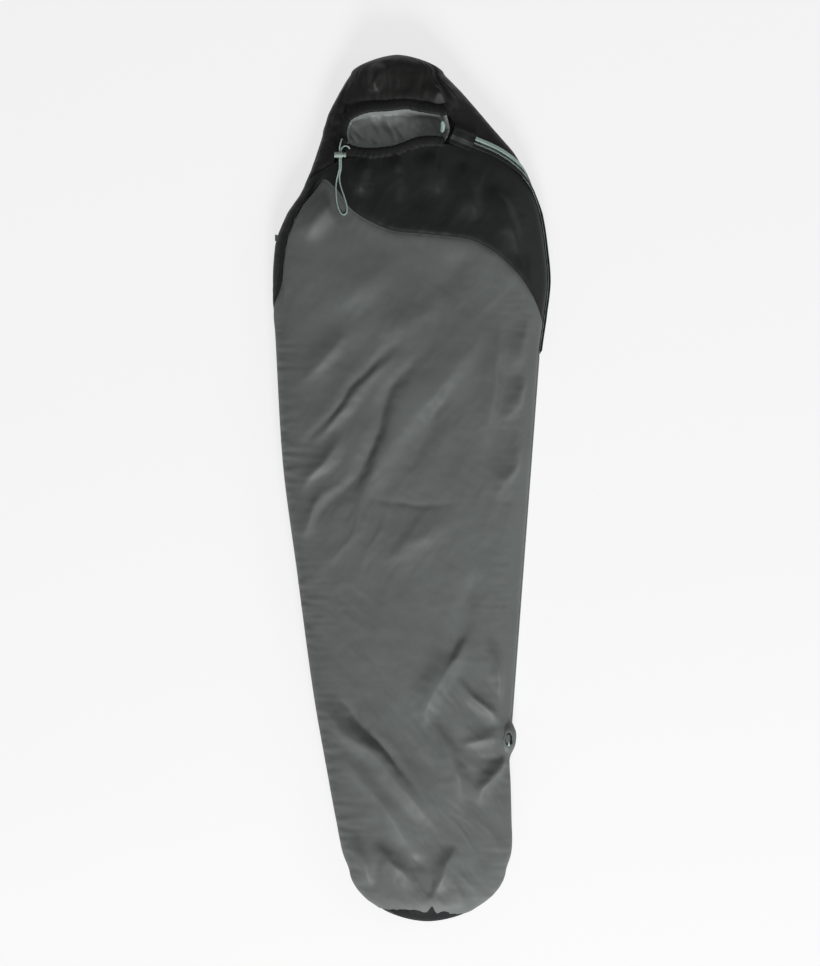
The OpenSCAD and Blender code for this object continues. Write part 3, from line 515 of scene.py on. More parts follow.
# Seams, hems and zip as paths on the shell
yokeSeam = [
    (0, fromCrown(0.675)), (11, fromCrown(0.655)), (29, fromCrown(0.598)), (45, fromCrown(0.533)),
    (57, fromCrown(0.489)), (69, fromCrown(0.461)), (86, fromCrown(0.449)), (94, fromCrown(0.442)),
    (105, fromCrown(0.417)), (114, fromCrown(0.392)), (132, fromCrown(0.333)), (145, fromCrown(0.311)),
    (151, fromCrown(0.353)), (153, fromCrown(0.412)), (157, fromCrown(0.575)), (166, fromCrown(0.607)),
    (180, fromCrown(0.640)),
]
neckSeam = [
    (0, fromCrown(0.360)), (13, fromCrown(0.327)), (41, fromCrown(0.257)), (56, fromCrown(0.240)),
    (76, fromCrown(0.231)), (86, fromCrown(0.233)), (94, fromCrown(0.249)), (108, fromCrown(0.259)),
    (133, fromCrown(0.267)), (141, fromCrown(0.280)), (163, fromCrown(0.313)), (180, fromCrown(0.340)),
]
crownSeam = [
    (0, fromCrown(0.011)), (20, fromCrown(0.014)), (40, fromCrown(0.060)), (56, fromCrown(0.122)),
    (64, fromCrown(0.126)), (74, fromCrown(0.119)), (104, fromCrown(0.117)), (124, fromCrown(0.119)),
    (142, fromCrown(0.127)), (162, fromCrown(0.075)), (180, fromCrown(0.053)),
]
zipSeam = [
    (0, fromCrown(0.303)), (9, fromCrown(0.280)), (36, fromCrown(0.235)), (56, fromCrown(0.206)),
    (64, fromCrown(0.160)), (74, fromCrown(0.150)),
]
footSeamY = fromFoot(0.035)

hem = {"width": 0.024, "height": 0.012, "sink": 0.0025, "gather": 0.0150, "depth": 0.20,
       "step": 0.0014, "sides": 26, "endFade": 0.006}
hemLine = [
    (0.090, fromCrown(0.153)), (0.076, fromCrown(0.144)), (0.025, fromCrown(0.135)),
    (-0.010, fromCrown(0.129)), (-0.052, fromCrown(0.133)), (-0.104, fromCrown(0.137)),
    (-0.143, fromCrown(0.151)), (-0.163, fromCrown(0.175)), (-0.167, fromCrown(0.205)),
    (-0.160, fromCrown(0.228)), (-0.140, fromCrown(0.241)), (-0.110, fromCrown(0.246)),
    (-0.079, fromCrown(0.246)), (-0.045, fromCrown(0.242)), (-0.020, fromCrown(0.235)),
    (0.020, fromCrown(0.220)), (0.060, fromCrown(0.217)), (0.086, fromCrown(0.220)),
]
hemSpline = splinePath(hemLine, 12)
hemPlaces = np.column_stack([hemSpline, topZ(hemSpline[:, 0], hemSpline[:, 1]) - hem["sink"]])
hemSplitAt = 27 * 4

zipAngle = [(sideLowY, -22), (fromCrown(0.480), -22), (fromCrown(0.410), -16), (fromCrown(0.350), -4),
            (fromCrown(0.303), 10), (fromCrown(0.249), 35), (fromCrown(0.211), 58)]
zipData = {"lift": 0.0003, "topLift": 0.0016, "turnY": fromCrown(0.236), "topY": fromCrown(0.211)}


def onZip(y, lift):
    a = curve(zipAngle, y)
    return surfacePoint(a, y) + np.asarray(lift)[..., None] * outwardAt(a, y)


zipYs = np.concatenate([np.linspace(sideLowY, fromCrown(0.33), 300),
                        np.linspace(fromCrown(0.33), zipData["turnY"], 60)[1:]])
zipLifts = zipData["lift"] + (zipData["topLift"] - zipData["lift"]) * smooth(
    fromCrown(0.33), fromCrown(0.28), zipYs)
zipTurn = onZip(np.array([zipData["turnY"]]), np.array([zipData["topLift"]]))[0]
zipTop = onZip(np.array([zipData["topY"]]), np.array([zipData["topLift"]]))[0]
zipPlaces = np.concatenate([onZip(zipYs, zipLifts),
                            zipTurn + np.linspace(0, 1, 12)[1:, None] * (zipTop - zipTurn)])
zipOutYs = np.concatenate([zipYs, np.full(11, (zipData["turnY"] + zipData["topY"]) / 2)])
zipOut = outwardAt(curve(zipAngle, zipOutYs), zipOutYs)

cordRoute = [   # eyelet, through the lock, down to the loop's end and back
    (-0.1676, 0.8618, 0.0880), (-0.1685, 0.8610, 0.0925), (-0.1700, 0.8560, 0.0965), (-0.1720, 0.8490, 0.0987),
    (-0.1735, 0.8410, 0.0990), (-0.1739, 0.8340, 0.0990), (-0.1739, 0.8120, 0.0990), (-0.1739, 0.7900, 0.0990),
    (-0.1760, 0.7800, 0.0970), (-0.1788, 0.7700, 0.0942), (-0.1810, 0.7600, 0.0923), (-0.1825, 0.7480, 0.0933),
    (-0.1825, 0.7360, 0.0948), (-0.1820, 0.7240, 0.0964), (-0.1810, 0.7120, 0.0980), (-0.1790, 0.7000, 0.0997),
    (-0.1755, 0.6880, 0.1013), (-0.1700, 0.6780, 0.1028), (-0.1630, 0.6740, 0.1038), (-0.1570, 0.6780, 0.1042),
    (-0.1550, 0.6880, 0.1038), (-0.1565, 0.7000, 0.1026), (-0.1600, 0.7120, 0.1011), (-0.1640, 0.7240, 0.0993),
    (-0.1680, 0.7360, 0.0973), (-0.1715, 0.7480, 0.0955), (-0.1738, 0.7600, 0.0942), (-0.1740, 0.7700, 0.0952),
    (-0.1720, 0.7800, 0.0974), (-0.1701, 0.7900, 0.0990), (-0.1701, 0.8120, 0.0990), (-0.1701, 0.8320, 0.0990),
    (-0.1685, 0.8380, 0.0996), (-0.1640, 0.8425, 0.1010), (-0.1580, 0.8440, 0.1015), (-0.1525, 0.8420, 0.1000),
    (-0.1497, 0.8390, 0.0970), (-0.1492, 0.8378, 0.0933),
]


# Mesh helpers
def makePiece(name, verts, faces, material, body=bagBody, uvs=None):
    mesh = bpy.data.meshes.new(name)
    mesh.from_pydata([tuple(v) for v in np.asarray(verts).reshape(-1, 3)], [], [list(map(int, f)) for f in faces])
    mesh.update()
    if uvs is not None:
        layer = mesh.uv_layers.new(name="map")
        loops = np.zeros(len(mesh.loops), int)
        mesh.loops.foreach_get("vertex_index", loops)
        layer.data.foreach_set("uv", np.asarray(uvs, float)[loops].ravel())
    mesh.shade_smooth()
    mesh.materials.append(material)
    piece = bpy.data.objects.new(name, mesh)
    bpy.context.scene.collection.objects.link(piece)
    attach(piece, body)
    return piece


def gridFaces(nc, nr, closed=False, flip=False):
    i, j = np.meshgrid(np.arange(nc if closed else nc - 1), np.arange(nr - 1), indexing="ij")
    p, q = i * nr + j, (i + 1) % nc * nr + j
    quads = np.stack([p, p + 1, q + 1, q] if flip else [p, q, q + 1, p + 1], -1)
    return quads.reshape(-1, 4)


def framesAlong(places, outs):
    along = unit(np.gradient(places, axis=0))
    out = unit(outs - np.sum(outs * along, 1, keepdims=True) * along)
    return along, out, np.cross(along, out)


def carriedOut(places, first):
    # Outward direction carried along a path, so that a tube round it doesn't twist.
    along = unit(np.gradient(places, axis=0))
    out, outs = np.array(first, float), []
    for a in along:
        out = out - np.dot(out, a) * a
        out = out / np.linalg.norm(out)
        outs.append(out)
    return np.array(outs)


def sweepMesh(places, outs, ring, flip=False):
    # ring(i) gives the outline at place i as (across, out) pairs; the result is closed at both ends.
    out, across = framesAlong(places, outs)[1:]
    rings = [places[i] + r[:, :1] * across[i] + r[:, 1:] * out[i] for i, r in
             ((i, ring(i)) for i in range(len(places)))]
    m, n = len(rings[0]), len(rings)
    verts = np.concatenate(rings)
    faces = [(i * m + j, i * m + (j + 1) % m, (i + 1) * m + (j + 1) % m, (i + 1) * m + j)
             for i in range(n - 1) for j in range(m)]
    faces = [f[::-1] for f in faces] if flip else faces
    ends = [list(range(m))[::-1], list(range((n - 1) * m, n * m))]
    faces += [e[::-1] for e in ends] if flip else ends
    step = np.concatenate([[0], np.cumsum(np.linalg.norm(np.diff(places, axis=0), axis=1))])
    uvs = np.stack([np.repeat(step, m), np.tile(np.arange(m) / m, n)], -1)
    return verts, faces, uvs


# Drawcord
drawcord = {"diameter": 0.0035, "steps": 5, "sides": 12}


def makeDrawcord():
    route = splinePath(cordRoute, drawcord["steps"])
    r = drawcord["diameter"] / 2
    turn = np.radians(np.arange(drawcord["sides"]) * 360 / drawcord["sides"])
    ring = np.stack([np.cos(turn) * r, np.sin(turn) * r], -1)
    verts, faces, uvs = sweepMesh(route, carriedOut(route, (0, 1, 0.1)), lambda i: ring)
    piece = makePiece("drawcord", verts, faces, finish["cord"], uvs=uvs)
    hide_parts("drawcord_loop")


makeDrawcord()

# Shell relief: folds, seam puckers and gathers
# Each fold: points in plan, height, width of its soft side, width of its steep side (left of its direction)
folds = [
    # long diagonal folds over the hips
    ([(0.215, 0.400), (0.175, 0.365), (0.090, 0.255), (0.005, 0.180), (-0.040, 0.115), (-0.085, 0.035),
      (-0.165, -0.085)], 0.018, 0.050, 0.022),
    ([(0.060, 0.350), (-0.045, 0.235), (-0.087, 0.110), (-0.134, 0.012), (-0.220, -0.077),
      (-0.267, -0.134)], -0.010, 0.020, 0.026),
    ([(-0.020, 0.330), (-0.100, 0.262), (-0.134, 0.215), (-0.190, 0.150), (-0.262, 0.070)], 0.011, 0.032, 0.013),
    ([(0.010, 0.385), (-0.085, 0.300), (-0.125, 0.255), (-0.200, 0.160), (-0.295, 0.045)], -0.007, 0.012, 0.018),
    ([(-0.120, 0.390), (-0.190, 0.330), (-0.285, 0.230)], 0.007, 0.028, 0.014),
    ([(-0.150, 0.130), (-0.205, 0.060), (-0.280, -0.030)], 0.008, 0.020, 0.012),
    ([(-0.180, 0.010), (-0.230, -0.060), (-0.272, -0.160)], 0.006, 0.018, 0.012),
    ([(0.150, 0.330), (0.075, 0.200), (0.030, 0.090), (-0.010, 0.010)], -0.006, 0.028, 0.018),
    ([(0.222, 0.440), (0.212, 0.297), (0.190, 0.126), (0.170, 0.040)], 0.010, 0.034, 0.015),
    ([(0.307, 0.290), (0.262, 0.203), (0.228, 0.130)], 0.008, 0.020, 0.012),
    ([(0.290, 0.120), (0.240, 0.012), (0.205, -0.060)], 0.008, 0.022, 0.013),
    ([(0.300, 0.420), (0.270, 0.330), (0.250, 0.250)], 0.006, 0.022, 0.014),
    ([(-0.130, -0.030), (0.010, -0.050), (0.145, -0.046)], -0.0016, 0.008, 0.010),
    ([(0.110, -0.060), (0.030, -0.130), (-0.080, -0.200)], 0.005, 0.036, 0.026),
    # lower legs
    ([(-0.222, -0.500), (-0.190, -0.556), (-0.150, -0.618), (-0.079, -0.678), (-0.027, -0.737),
      (0.025, -0.804), (0.082, -0.875)], 0.014, 0.020, 0.040),
    ([(-0.200, -0.490), (-0.126, -0.592), (-0.045, -0.680), (0.007, -0.745), (0.050, -0.800)], -0.008, 0.016, 0.014),
    ([(-0.175, -0.650), (-0.150, -0.690), (-0.079, -0.774), (-0.017, -0.873), (0.020, -0.905)], 0.010, 0.018, 0.032),
    ([(0.165, -0.200), (0.151, -0.240), (0.121, -0.364), (0.067, -0.505)], -0.009, 0.016, 0.024),
    ([(0.150, -0.340), (0.110, -0.430), (0.052, -0.530), (0.020, -0.620)], 0.009, 0.028, 0.014),
    ([(0.186, -0.380), (0.225, -0.490), (0.252, -0.596)], 0.006, 0.014, 0.022),
    ([(0.110, -0.480), (0.190, -0.560), (0.246, -0.606)], 0.005, 0.013, 0.012),
    ([(0.120, -0.650), (0.190, -0.632), (0.244, -0.622)], 0.004, 0.012, 0.014),
    ([(0.160, -0.790), (0.215, -0.700), (0.246, -0.648)], 0.008, 0.014, 0.016),
    ([(0.040, -0.560), (0.090, -0.650), (0.120, -0.740), (0.125, -0.830)], 0.008, 0.026, 0.016),
    ([(-0.090, -0.880), (-0.040, -0.940), (0.020, -1.000)], 0.007, 0.022, 0.016),
    ([(0.110, -0.890), (0.085, -0.950), (0.060, -1.020)], 0.007, 0.018, 0.014),
    ([(0.000, -0.910), (0.030, -0.960), (0.050, -1.030)], -0.006, 0.014, 0.014),
    ([(-0.130, -0.860), (-0.115, -0.930), (-0.095, -1.000)], 0.006, 0.018, 0.014),
    # chest
    ([(-0.173, 0.713), (-0.215, 0.660), (-0.262, 0.590)], 0.007, 0.028, 0.018),
    ([(0.148, 0.575), (0.105, 0.520), (0.060, 0.450)], -0.006, 0.034, 0.030),
    ([(-0.040, 0.560), (-0.110, 0.490), (-0.190, 0.420)], 0.007, 0.040, 0.026),
    ([(0.100, 0.480), (0.000, 0.400), (-0.110, 0.350)], 0.005, 0.038, 0.028),
    # yoke and hood
    ([(0.120, 0.800), (0.140, 0.740), (0.170, 0.640)], 0.006, 0.026, 0.018),
    ([(0.040, 0.830), (0.060, 0.760), (0.075, 0.700)], 0.006, 0.024, 0.016),
    ([(-0.030, 0.825), (-0.040, 0.760), (-0.020, 0.690)], 0.005, 0.022, 0.016),
    ([(-0.100, 0.815), (-0.120, 0.750), (-0.110, 0.700)], 0.005, 0.020, 0.014),
    ([(0.190, 0.740), (0.240, 0.660), (0.270, 0.560)], 0.007, 0.028, 0.016),
    ([(-0.062, 1.034), (-0.080, 1.000), (-0.099, 0.960)], 0.006, 0.022, 0.014),
    ([(-0.010, 1.040), (-0.014, 1.000), (-0.018, 0.955)], -0.004, 0.016, 0.016),
    ([(0.060, 0.990), (0.075, 0.960), (0.110, 0.920)], 0.006, 0.020, 0.014),
]
crumple = {
    "warp": 0.006, "warpLong": 0.09,                            # how far the drawn folds wander
    "foldHigh": 1.85, "foldShift": 0.012, "foldEnd": 0.46,
    "yokeAbove": 0.62, "yokeMore": 1.3, "legsBelow": -0.4, "legsMore": 0.6,
    "drift": ((0.300, 0.070, 0.0026), (0.080, 0.020, 0.0008)),  # length, width and height of the drifting folds
    "driftUp": (0.98, 31), "driftDown": (2.2, 47),              # their turn above and below the knees, and seed
    "kneeLow": -0.40, "kneeHigh": -0.15,
    "loft": 0.0022, "fine": (0.0008, 0.06), "under": (0.004, 0.08),
    "edgeFade": 0.045,
    "edgePucker": (0.0135, 0.045, 0.0042),                      # pitch, reach and height
    "seamPucker": (0.0150, 0.040, 0.0013),
    "hemPucker": (0.0120, 0.060, 0.0050),
    "seamRidge": (0.014, 0.012, 0.0008), "seamDip": (0.005, 0.0016), "edgeDip": (0.005, 0.0012),
    "bulges": ((crownY - 0.064, 0.024, 0.0065), (footY + 0.165, 0.042, 0.0095)),   # y, half length, height
    "calm": 0.030,                                              # nothing stands up near the zip, cord and tab
    "below": 0.0024, "foldBelow": 0.0044, "highest": 0.1228,
    "ventY": -0.622, "ventBulge": 0.017,
}


def calmZones(x, y):
    dZip = nearest(x, y, zipPlaces[::6])[0]
    dCord = nearest(x, y, np.array(cordRoute)[::2])[0]
    dHem, hemS, _, _ = nearest(x, y, hemPlaces[::3])
    calm = crumple["calm"]
    tabCentre = zipTop + np.array([0.01, 0.01, 0])
    dTab = np.hypot(x - tabCentre[0], y - tabCentre[1])
    keep = (smooth(0.012, calm + 0.012, dZip) * smooth(0.006, calm, dCord)
            * smooth(0.035, 0.060, dTab))
    return keep, dHem, hemS


def drawnFolds(x, y):
    c = crumple
    warpX = x + c["warp"] * layered(x / c["warpLong"], y / c["warpLong"], 11)
    warpY = y + c["warp"] * layered(x / c["warpLong"] + 7, y / c["warpLong"], 17)
    h = np.zeros(x.shape)
    for path, height, soft, steep in folds:
        line = splinePath([(px, py + c["foldShift"]) for px, py in path], 3)
        d, s, side, total = nearest(warpX, warpY, line)
        width = np.where(side > 0, steep, soft)
        ends = smooth(0, c["foldEnd"], s / total) * smooth(0, c["foldEnd"], 1 - s / total)
        middleY = path[len(path) // 2][1]
        stronger = 1 + c["yokeMore"] * (middleY > c["yokeAbove"]) + c["legsMore"] * (middleY < c["legsBelow"])
        h += c["foldHigh"] * stronger * height * np.exp(-(d / width) ** 1.5) * ends
    return h


def driftingFolds(x, y):
    # They lean down to the left above the knees and down to the right below them
    patchy = np.clip(0.5 + 0.9 * lattice(x / 0.22, y / 0.22, 23), 0.1, 1.2)
    upper = smooth(crumple["kneeLow"], crumple["kneeHigh"], y)
    h = np.zeros(x.shape)
    for (turn, seed), share in ((crumple["driftUp"], upper), (crumple["driftDown"], 1 - upper)):
        along = x * math.cos(turn) + y * math.sin(turn)
        acrossIt = -x * math.sin(turn) + y * math.cos(turn) + 0.02 * lattice(x / 0.15, y / 0.15, seed + 3)
        for k, (run, wide, height) in enumerate(crumple["drift"]):
            h += share * height * ridged(along / run, acrossIt / wide, seed + 7 * k) * patchy
    return h


def besideSeams(h, edge, dHem, hemS, seamDistances):
    run, fade, height = crumple["hemPucker"]
    h *= smooth(0.0, 0.05, dHem)
    h += height * lattice(hemS / run, dHem / 0.09, 53) * np.exp(-dHem / fade) * smooth(0, 0.012, dHem)
    run, fade, height = crumple["seamPucker"]
    ridgeAt, ridgeWide, ridgeHigh = crumple["seamRidge"]
    dipWide, dipDeep = crumple["seamDip"]
    for d, s in seamDistances:
        h *= smooth(-0.02, 0.03, d)
        h += (height * lattice(s / run, d / 0.06, 61) * np.exp(-d / fade)
              + ridgeHigh * np.exp(-((d - ridgeAt) / ridgeWide) ** 2)) * smooth(0, 0.010, d)
        h -= dipDeep * np.exp(-(d / dipWide) ** 2) * smooth(0.004, 0.030, edge)
    return h


def relief(points, seamDistances, top=True):
    x, y, z = points[..., 0], points[..., 1], points[..., 2]
    edge = np.hypot(halfWidth(y) - np.abs(x - midX(y)), z - shape["seamZ"])
    height, size = crumple["fine"] if top else crumple["under"]
    h = height * layered(x / size, y / size, 83 if top else 41)
    if top:
        h = h + drawnFolds(x, y) + driftingFolds(x, y) + crumple["loft"]
    h *= smooth(0.0, crumple["edgeFade"], edge)
    keep, dHem, hemS = calmZones(x, y)
    if top:
        h = besideSeams(h, edge, dHem, hemS, seamDistances)
    run, fade, height = crumple["edgePucker"]
    side = np.where(x > midX(y), 3.0, 0.0)
    strong = np.clip(0.75 + 0.9 * lattice(y / 0.18 + side, side, 71), 0.2, 1.4)
    strong *= smooth(0.004, 0.022, edge)
    h += height * lattice(y / run, edge / 0.07 + side, 73) * np.exp(-edge / fade) * strong
    dipWide, dipDeep = crumple["edgeDip"]
    h -= dipDeep * np.exp(-(edge / dipWide) ** 2)
    h *= 1 - 0.85 * np.exp(-edge / 0.035) * smooth(fromCrown(0.17), fromCrown(0.11), y)
    for centre, wide, height in crumple["bulges"]:
        h += height * np.exp(-((y - centre) / wide) ** 2) * np.exp(-edge / 0.03)
    ends = smooth(0, 0.02, y - footY) * smooth(0, 0.02, crownY - y)
    h = np.where(h > 0, h * keep, h * (0.3 + 0.7 * keep)) * ends
    # the wadding leaves this much room below the shell, and the loft this much above it
    overFront = smooth(0.074, 0.094, z) * smooth(0.80, 0.76, y) * smooth(fromFoot(0.12), fromFoot(0.15), y)
    below = crumple["below"] + crumple["foldBelow"] * overFront * top
    above = np.maximum(0.002, crumple["highest"] - z)
    vent = np.exp(-(np.abs(y - crumple["ventY"]) / 0.036) ** 3) * np.exp(-(edge / 0.045) ** 2) * (x > midX(y))
    return np.where(h < 0, -below * np.tanh(-h / below), above * np.tanh(h / above)) + crumple["ventBulge"] * vent


def normalsOf(grid):
    du, dv = np.gradient(grid, axis=0), np.gradient(grid, axis=1)
    return unit(np.cross(dv, du))


def evenAngles(low, high, step, y=0.3):
    a = np.linspace(low, high, 4000)
    p = surfacePoint(a, np.full(a.shape, y))
    s = np.concatenate([[0], np.cumsum(np.linalg.norm(np.diff(p, axis=0), axis=1))])
    return np.interp(np.linspace(0, s[-1], int(s[-1] / step) + 1), s, a)


def seamSlope(seam, columns):
    # How much nearer a seam is than straight along the bag, because the seam slants.
    y = curve(seam, columns)
    p = surfacePoint(columns, y)
    run = np.hypot(np.gradient(p[:, 0]), np.gradient(p[:, 2]))
    s = np.concatenate([[0], np.cumsum(np.linalg.norm(np.diff(p, axis=0), axis=1))])
    return 1 / np.sqrt(1 + (np.gradient(y) / np.maximum(run, 1e-5)) ** 2), s


def topPanel(name, nodes, material, columns, low, high, rows, lowSeam=None, highSeam=None, evenShare=0.0):
    share = (np.linspace(0, 1, rows) if isinstance(rows, int) else rows)[None, :]
    lo, hi = low(columns)[:, None], high(columns)[:, None]
    ys = lo + (hi - lo) * share
    if evenShare:
        # this share of the rows runs straight across, and only the rest bends towards the upper seam
        level = hi.min() - 0.03
        ys = np.where(share < evenShare, lo + (level - lo) * share / evenShare,
                      level + (hi - level) * (share - evenShare) / (1 - evenShare))
    base = surfacePoint(columns[:, None], ys)
    distances = []
    for seam, d in ((lowSeam, ys - lo), (highSeam, hi - ys)):
        if seam is not None:
            slant, s = seamSlope(seam, columns)
            distances.append((np.maximum(d * slant[:, None], d - 0.20), s[:, None] + 0 * d))
    grid = base + relief(base, distances)[..., None] * normalsOf(base)
    piece = makePiece(name, grid, gridFaces(len(columns), ys.shape[1]), material)
    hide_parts(*nodes)
    grids[name] = grid
    print(name, len(columns) * ys.shape[1])


grids = {}
columnStep = 0.0045
topColumns = evenAngles(0.4, 179.6, columnStep)


def constant(v):
    return lambda a: np.full(np.shape(a), v)


def seamAt(seam, shift=0.0):
    return lambda a: curve(seam, a) + shift


def columnsIn(low, high):
    return topColumns[(topColumns >= low) & (topColumns <= high)]


crowded = 1 - (1 - np.linspace(0, 1, 40)) ** 2


footScallops = (   # x, half width, how far the grey shell's lower edge goes up
    (0.035, 0.012, -0.0065), (0.0535, 0.006, 0.010), (0.072, 0.012, -0.009))


def footEdge(a):
    # Pulled up at the end panel's centre seam
    x = surfacePoint(a, np.full(np.shape(a), footSeamY))[..., 0]
    up = sum(height * np.exp(-((x - centre) / wide) ** 2) for centre, wide, height in footScallops)
    up = up - 0.011 * smooth(0.080, 0.115, x) * smooth(0.185, 0.150, x)
    up = up + 0.0016 * lattice(x / 0.011, x * 0 + 0.5, 141)
    return footSeamY + up * smooth(0.0, 25.0, np.minimum(a, 180 - a))


topPanel("frontPanel", ["front_panel"], finish["greyShell"], topColumns,
         footEdge, seamAt(yokeSeam), 340, None, yokeSeam, evenShare=0.86)
topPanel("chestYoke", ["chest_yoke"], finish["blackYoke"], topColumns,
         seamAt(yokeSeam), seamAt(neckSeam, 0.004), 80, yokeSeam, None)
topPanel("hoodSideLeft", ["hood_side_left"], finish["blackHood"], columnsIn(139, 180),
         seamAt(neckSeam, 0.0035), seamAt(crownSeam), 60, neckSeam, crownSeam)
topPanel("hoodSideRight", ["hood_side_right"], finish["blackHood"], columnsIn(0, 60),
         seamAt(zipSeam), seamAt(crownSeam), 70, None, crownSeam)
topPanel("hoodCrown", ["hood_crown"], finish["blackHood"], topColumns,
         seamAt(crownSeam), constant(crownY), crowded, crownSeam, None)


under = {"step": 0.009, "lowest": 0.0003, "tuckIn": 0.004, "rows": 260, "crownRows": 20}
footLook = {
    "overlap": 0.010, "rows": 24, "pucker": (0.016, 0.02, 0.004), "dip": (0.005, 0.002),
    "pinch": (0.052, 0.007, 0.004), "sink": (0.012, 0.0018), "most": 0.0022,
}


def backPanel():
    left = np.concatenate([[176.0], evenAngles(180.4, 270, under["step"])])
    right = np.concatenate([evenAngles(-90, -0.4, under["step"])[1:], [4.0]])
    columns = np.concatenate([left, right])
    t, n = np.linspace(0, 1, under["rows"]), under["crownRows"]
    t = np.concatenate([t[:-n], 1 - (1 - t[-n]) * (1 - np.linspace(0, 1, n)) ** 2])
    base = surfacePoint(columns[:, None], (footSeamY + (crownY - footSeamY) * t)[None, :])
    h = relief(base, [], top=False)
    h[[0, -1]] -= under["tuckIn"]
    grid = base + h[..., None] * normalsOf(base)
    grid[..., 2] = np.maximum(grid[..., 2], under["lowest"])
    piece = makePiece("backPanel", grid, gridFaces(*grid.shape[:2]), finish["blackBack"])
    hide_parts("back_panel")


def footPanel():
    columns = np.concatenate([topColumns[::2], evenAngles(180.4, 270, under["step"]),
                              evenAngles(-90, -0.4, under["step"])[1:]])
    start = footSeamY + footLook["overlap"]
    ys = start + (footY - start) * (1 - (1 - np.linspace(0, 1, footLook["rows"])) ** 2)
    base = surfacePoint(columns[:, None], ys[None, :])
    p = base[:, 0, :]
    s = np.concatenate([[0], np.cumsum(np.linalg.norm(np.diff(p, axis=0), axis=1))])[:, None]
    d = np.maximum(0, footSeamY - ys)[None, :] + 0 * s
    pitch, fade, height = footLook["pucker"]
    dipWide, dipDeep = footLook["dip"]
    h = height * lattice(s / pitch, d / 0.06, 83) * np.exp(-d / fade) - dipDeep * np.exp(-(d / dipWide) ** 2)
    centre, wide, deep = footLook["pinch"]
    h = h - deep * np.exp(-((base[..., 0] - centre) / wide) ** 2) * (base[..., 2] > 0.02)
    fade, deep = footLook["sink"]
    h = (h - deep * np.exp(-d / fade)) * smooth(0, 0.012, ys[None, :] - footY)
    h = np.where(h < 0, footLook["most"] * np.tanh(h / footLook["most"]), h)
    grid = base - h[..., None] * normalsOf(base)
    grid[..., 2] = np.maximum(grid[..., 2], under["lowest"])
    # Its black is painted darker, as painted shade at the foot end.
    piece = makePiece("footPanel", grid, gridFaces(*grid.shape[:2], closed=True, flip=True),
                      finish["blackFootPaintedShade"])
    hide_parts("foot_panel")


backPanel()
footPanel()
print("shell ready")


# Gathered hems
def gatherWave(s, seed):
    phase = 2 * math.pi * s / hem["gather"] + 5.0 * layered(s / 0.06, s * 0 + seed, seed)
    strong = np.clip(0.6 + 0.8 * lattice(s / 0.035, s * 0 + seed + 0.5, seed + 5), 0.1, 1.3)
    return (1 - np.abs(np.sin(phase / 2)) ** 0.8) * strong


def makeHem(name, node, low, high, seed):
    places = evenPath(hemPlaces[low:high + 1], hem["step"])
    outs = outwardAt(angleOf(places[:, 0], places[:, 1]), places[:, 1])
    s = np.arange(len(places)) * hem["step"]
    turn = np.radians(np.arange(hem["sides"]) * 360 / hem["sides"])
    ends = np.minimum(1, np.minimum(s, s[-1] - s) / hem["endFade"]) ** 0.5
    flat = np.sign(np.cos(turn)) * np.abs(np.cos(turn)) ** 0.85

    def ring(i):
        wave = gatherWave(s[i] + 0.0016 * np.sin(turn + seed), seed)
        fat = 1 + 0.08 * lattice(np.array(s[i] / 0.03), np.array(seed * 1.0), 7)
        r = (1 - hem["depth"] * wave * (0.6 + 0.4 * np.abs(np.sin(turn)))) * fat * max(0.25, ends[i])
        return np.stack([flat * hem["width"] / 2 * r, np.sin(turn) * hem["height"] / 2 * r * 1.15], -1)

    verts, faces, uvs = sweepMesh(places, outs, ring)
    piece = makePiece(name, verts, faces, finish["hem"])
    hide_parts(node)


makeHem("hoodHem", "hood_hem", 0, hemSplitAt, 3)
makeHem("neckHem", "neck_hem", hemSplitAt, len(hemPlaces) - 1, 9)
bridge = {"step": 0.0016, "near": 0.006, "far": 0.026, "rows": 12, "up": 0.0030, "drop": 0.0050, "gathers": 0.0016}


def hemBridge():
    # Gathered cloth from the hems' shoulder to the shell round them
    places = evenPath(hemPlaces, bridge["step"])
    across = framesAlong(places, outwardAt(angleOf(places[:, 0], places[:, 1]), places[:, 1]))[2]
    away = across * np.sign(np.sum(across * (places - places.mean(axis=0)), axis=1, keepdims=True))
    wave = gatherWave(np.arange(len(places)) * bridge["step"], 31)
    reach = np.linspace(bridge["near"], bridge["far"], bridge["rows"])
    grid = np.zeros((len(places), len(reach), 3))
    for j, r in enumerate(reach):
        x, y = (places + r * away)[:, 0], (places + r * away)[:, 1]
        lift = (bridge["up"] - bridge["drop"] * smooth(0.006, 0.020, r)
                + bridge["gathers"] * wave * (1 - smooth(0.010, 0.026, r)))
        grid[:, j] = np.column_stack([x, y, topZ(x, y) + lift])
    grid = grid if np.mean(normalsOf(grid)[..., 2]) > 0 else grid[:, ::-1]
    makePiece("hemBridge", grid, gridFaces(*grid.shape[:2]), finish["hem"])


hemBridge()

# Lining seen through the face opening
liningLook = {
    "floorZ": 0.057, "rimDrop": 0.003, "rings": 44, "step": 0.0022,
    "middle": (-0.125, 0.045, fromCrown(0.186)),                 # the line its rings close on: two x and a y
    "gathers": 0.0032, "fold": (0.060, 0.16, 0.012), "fine": (0.05, 0.003), "lean": 0.55,
}


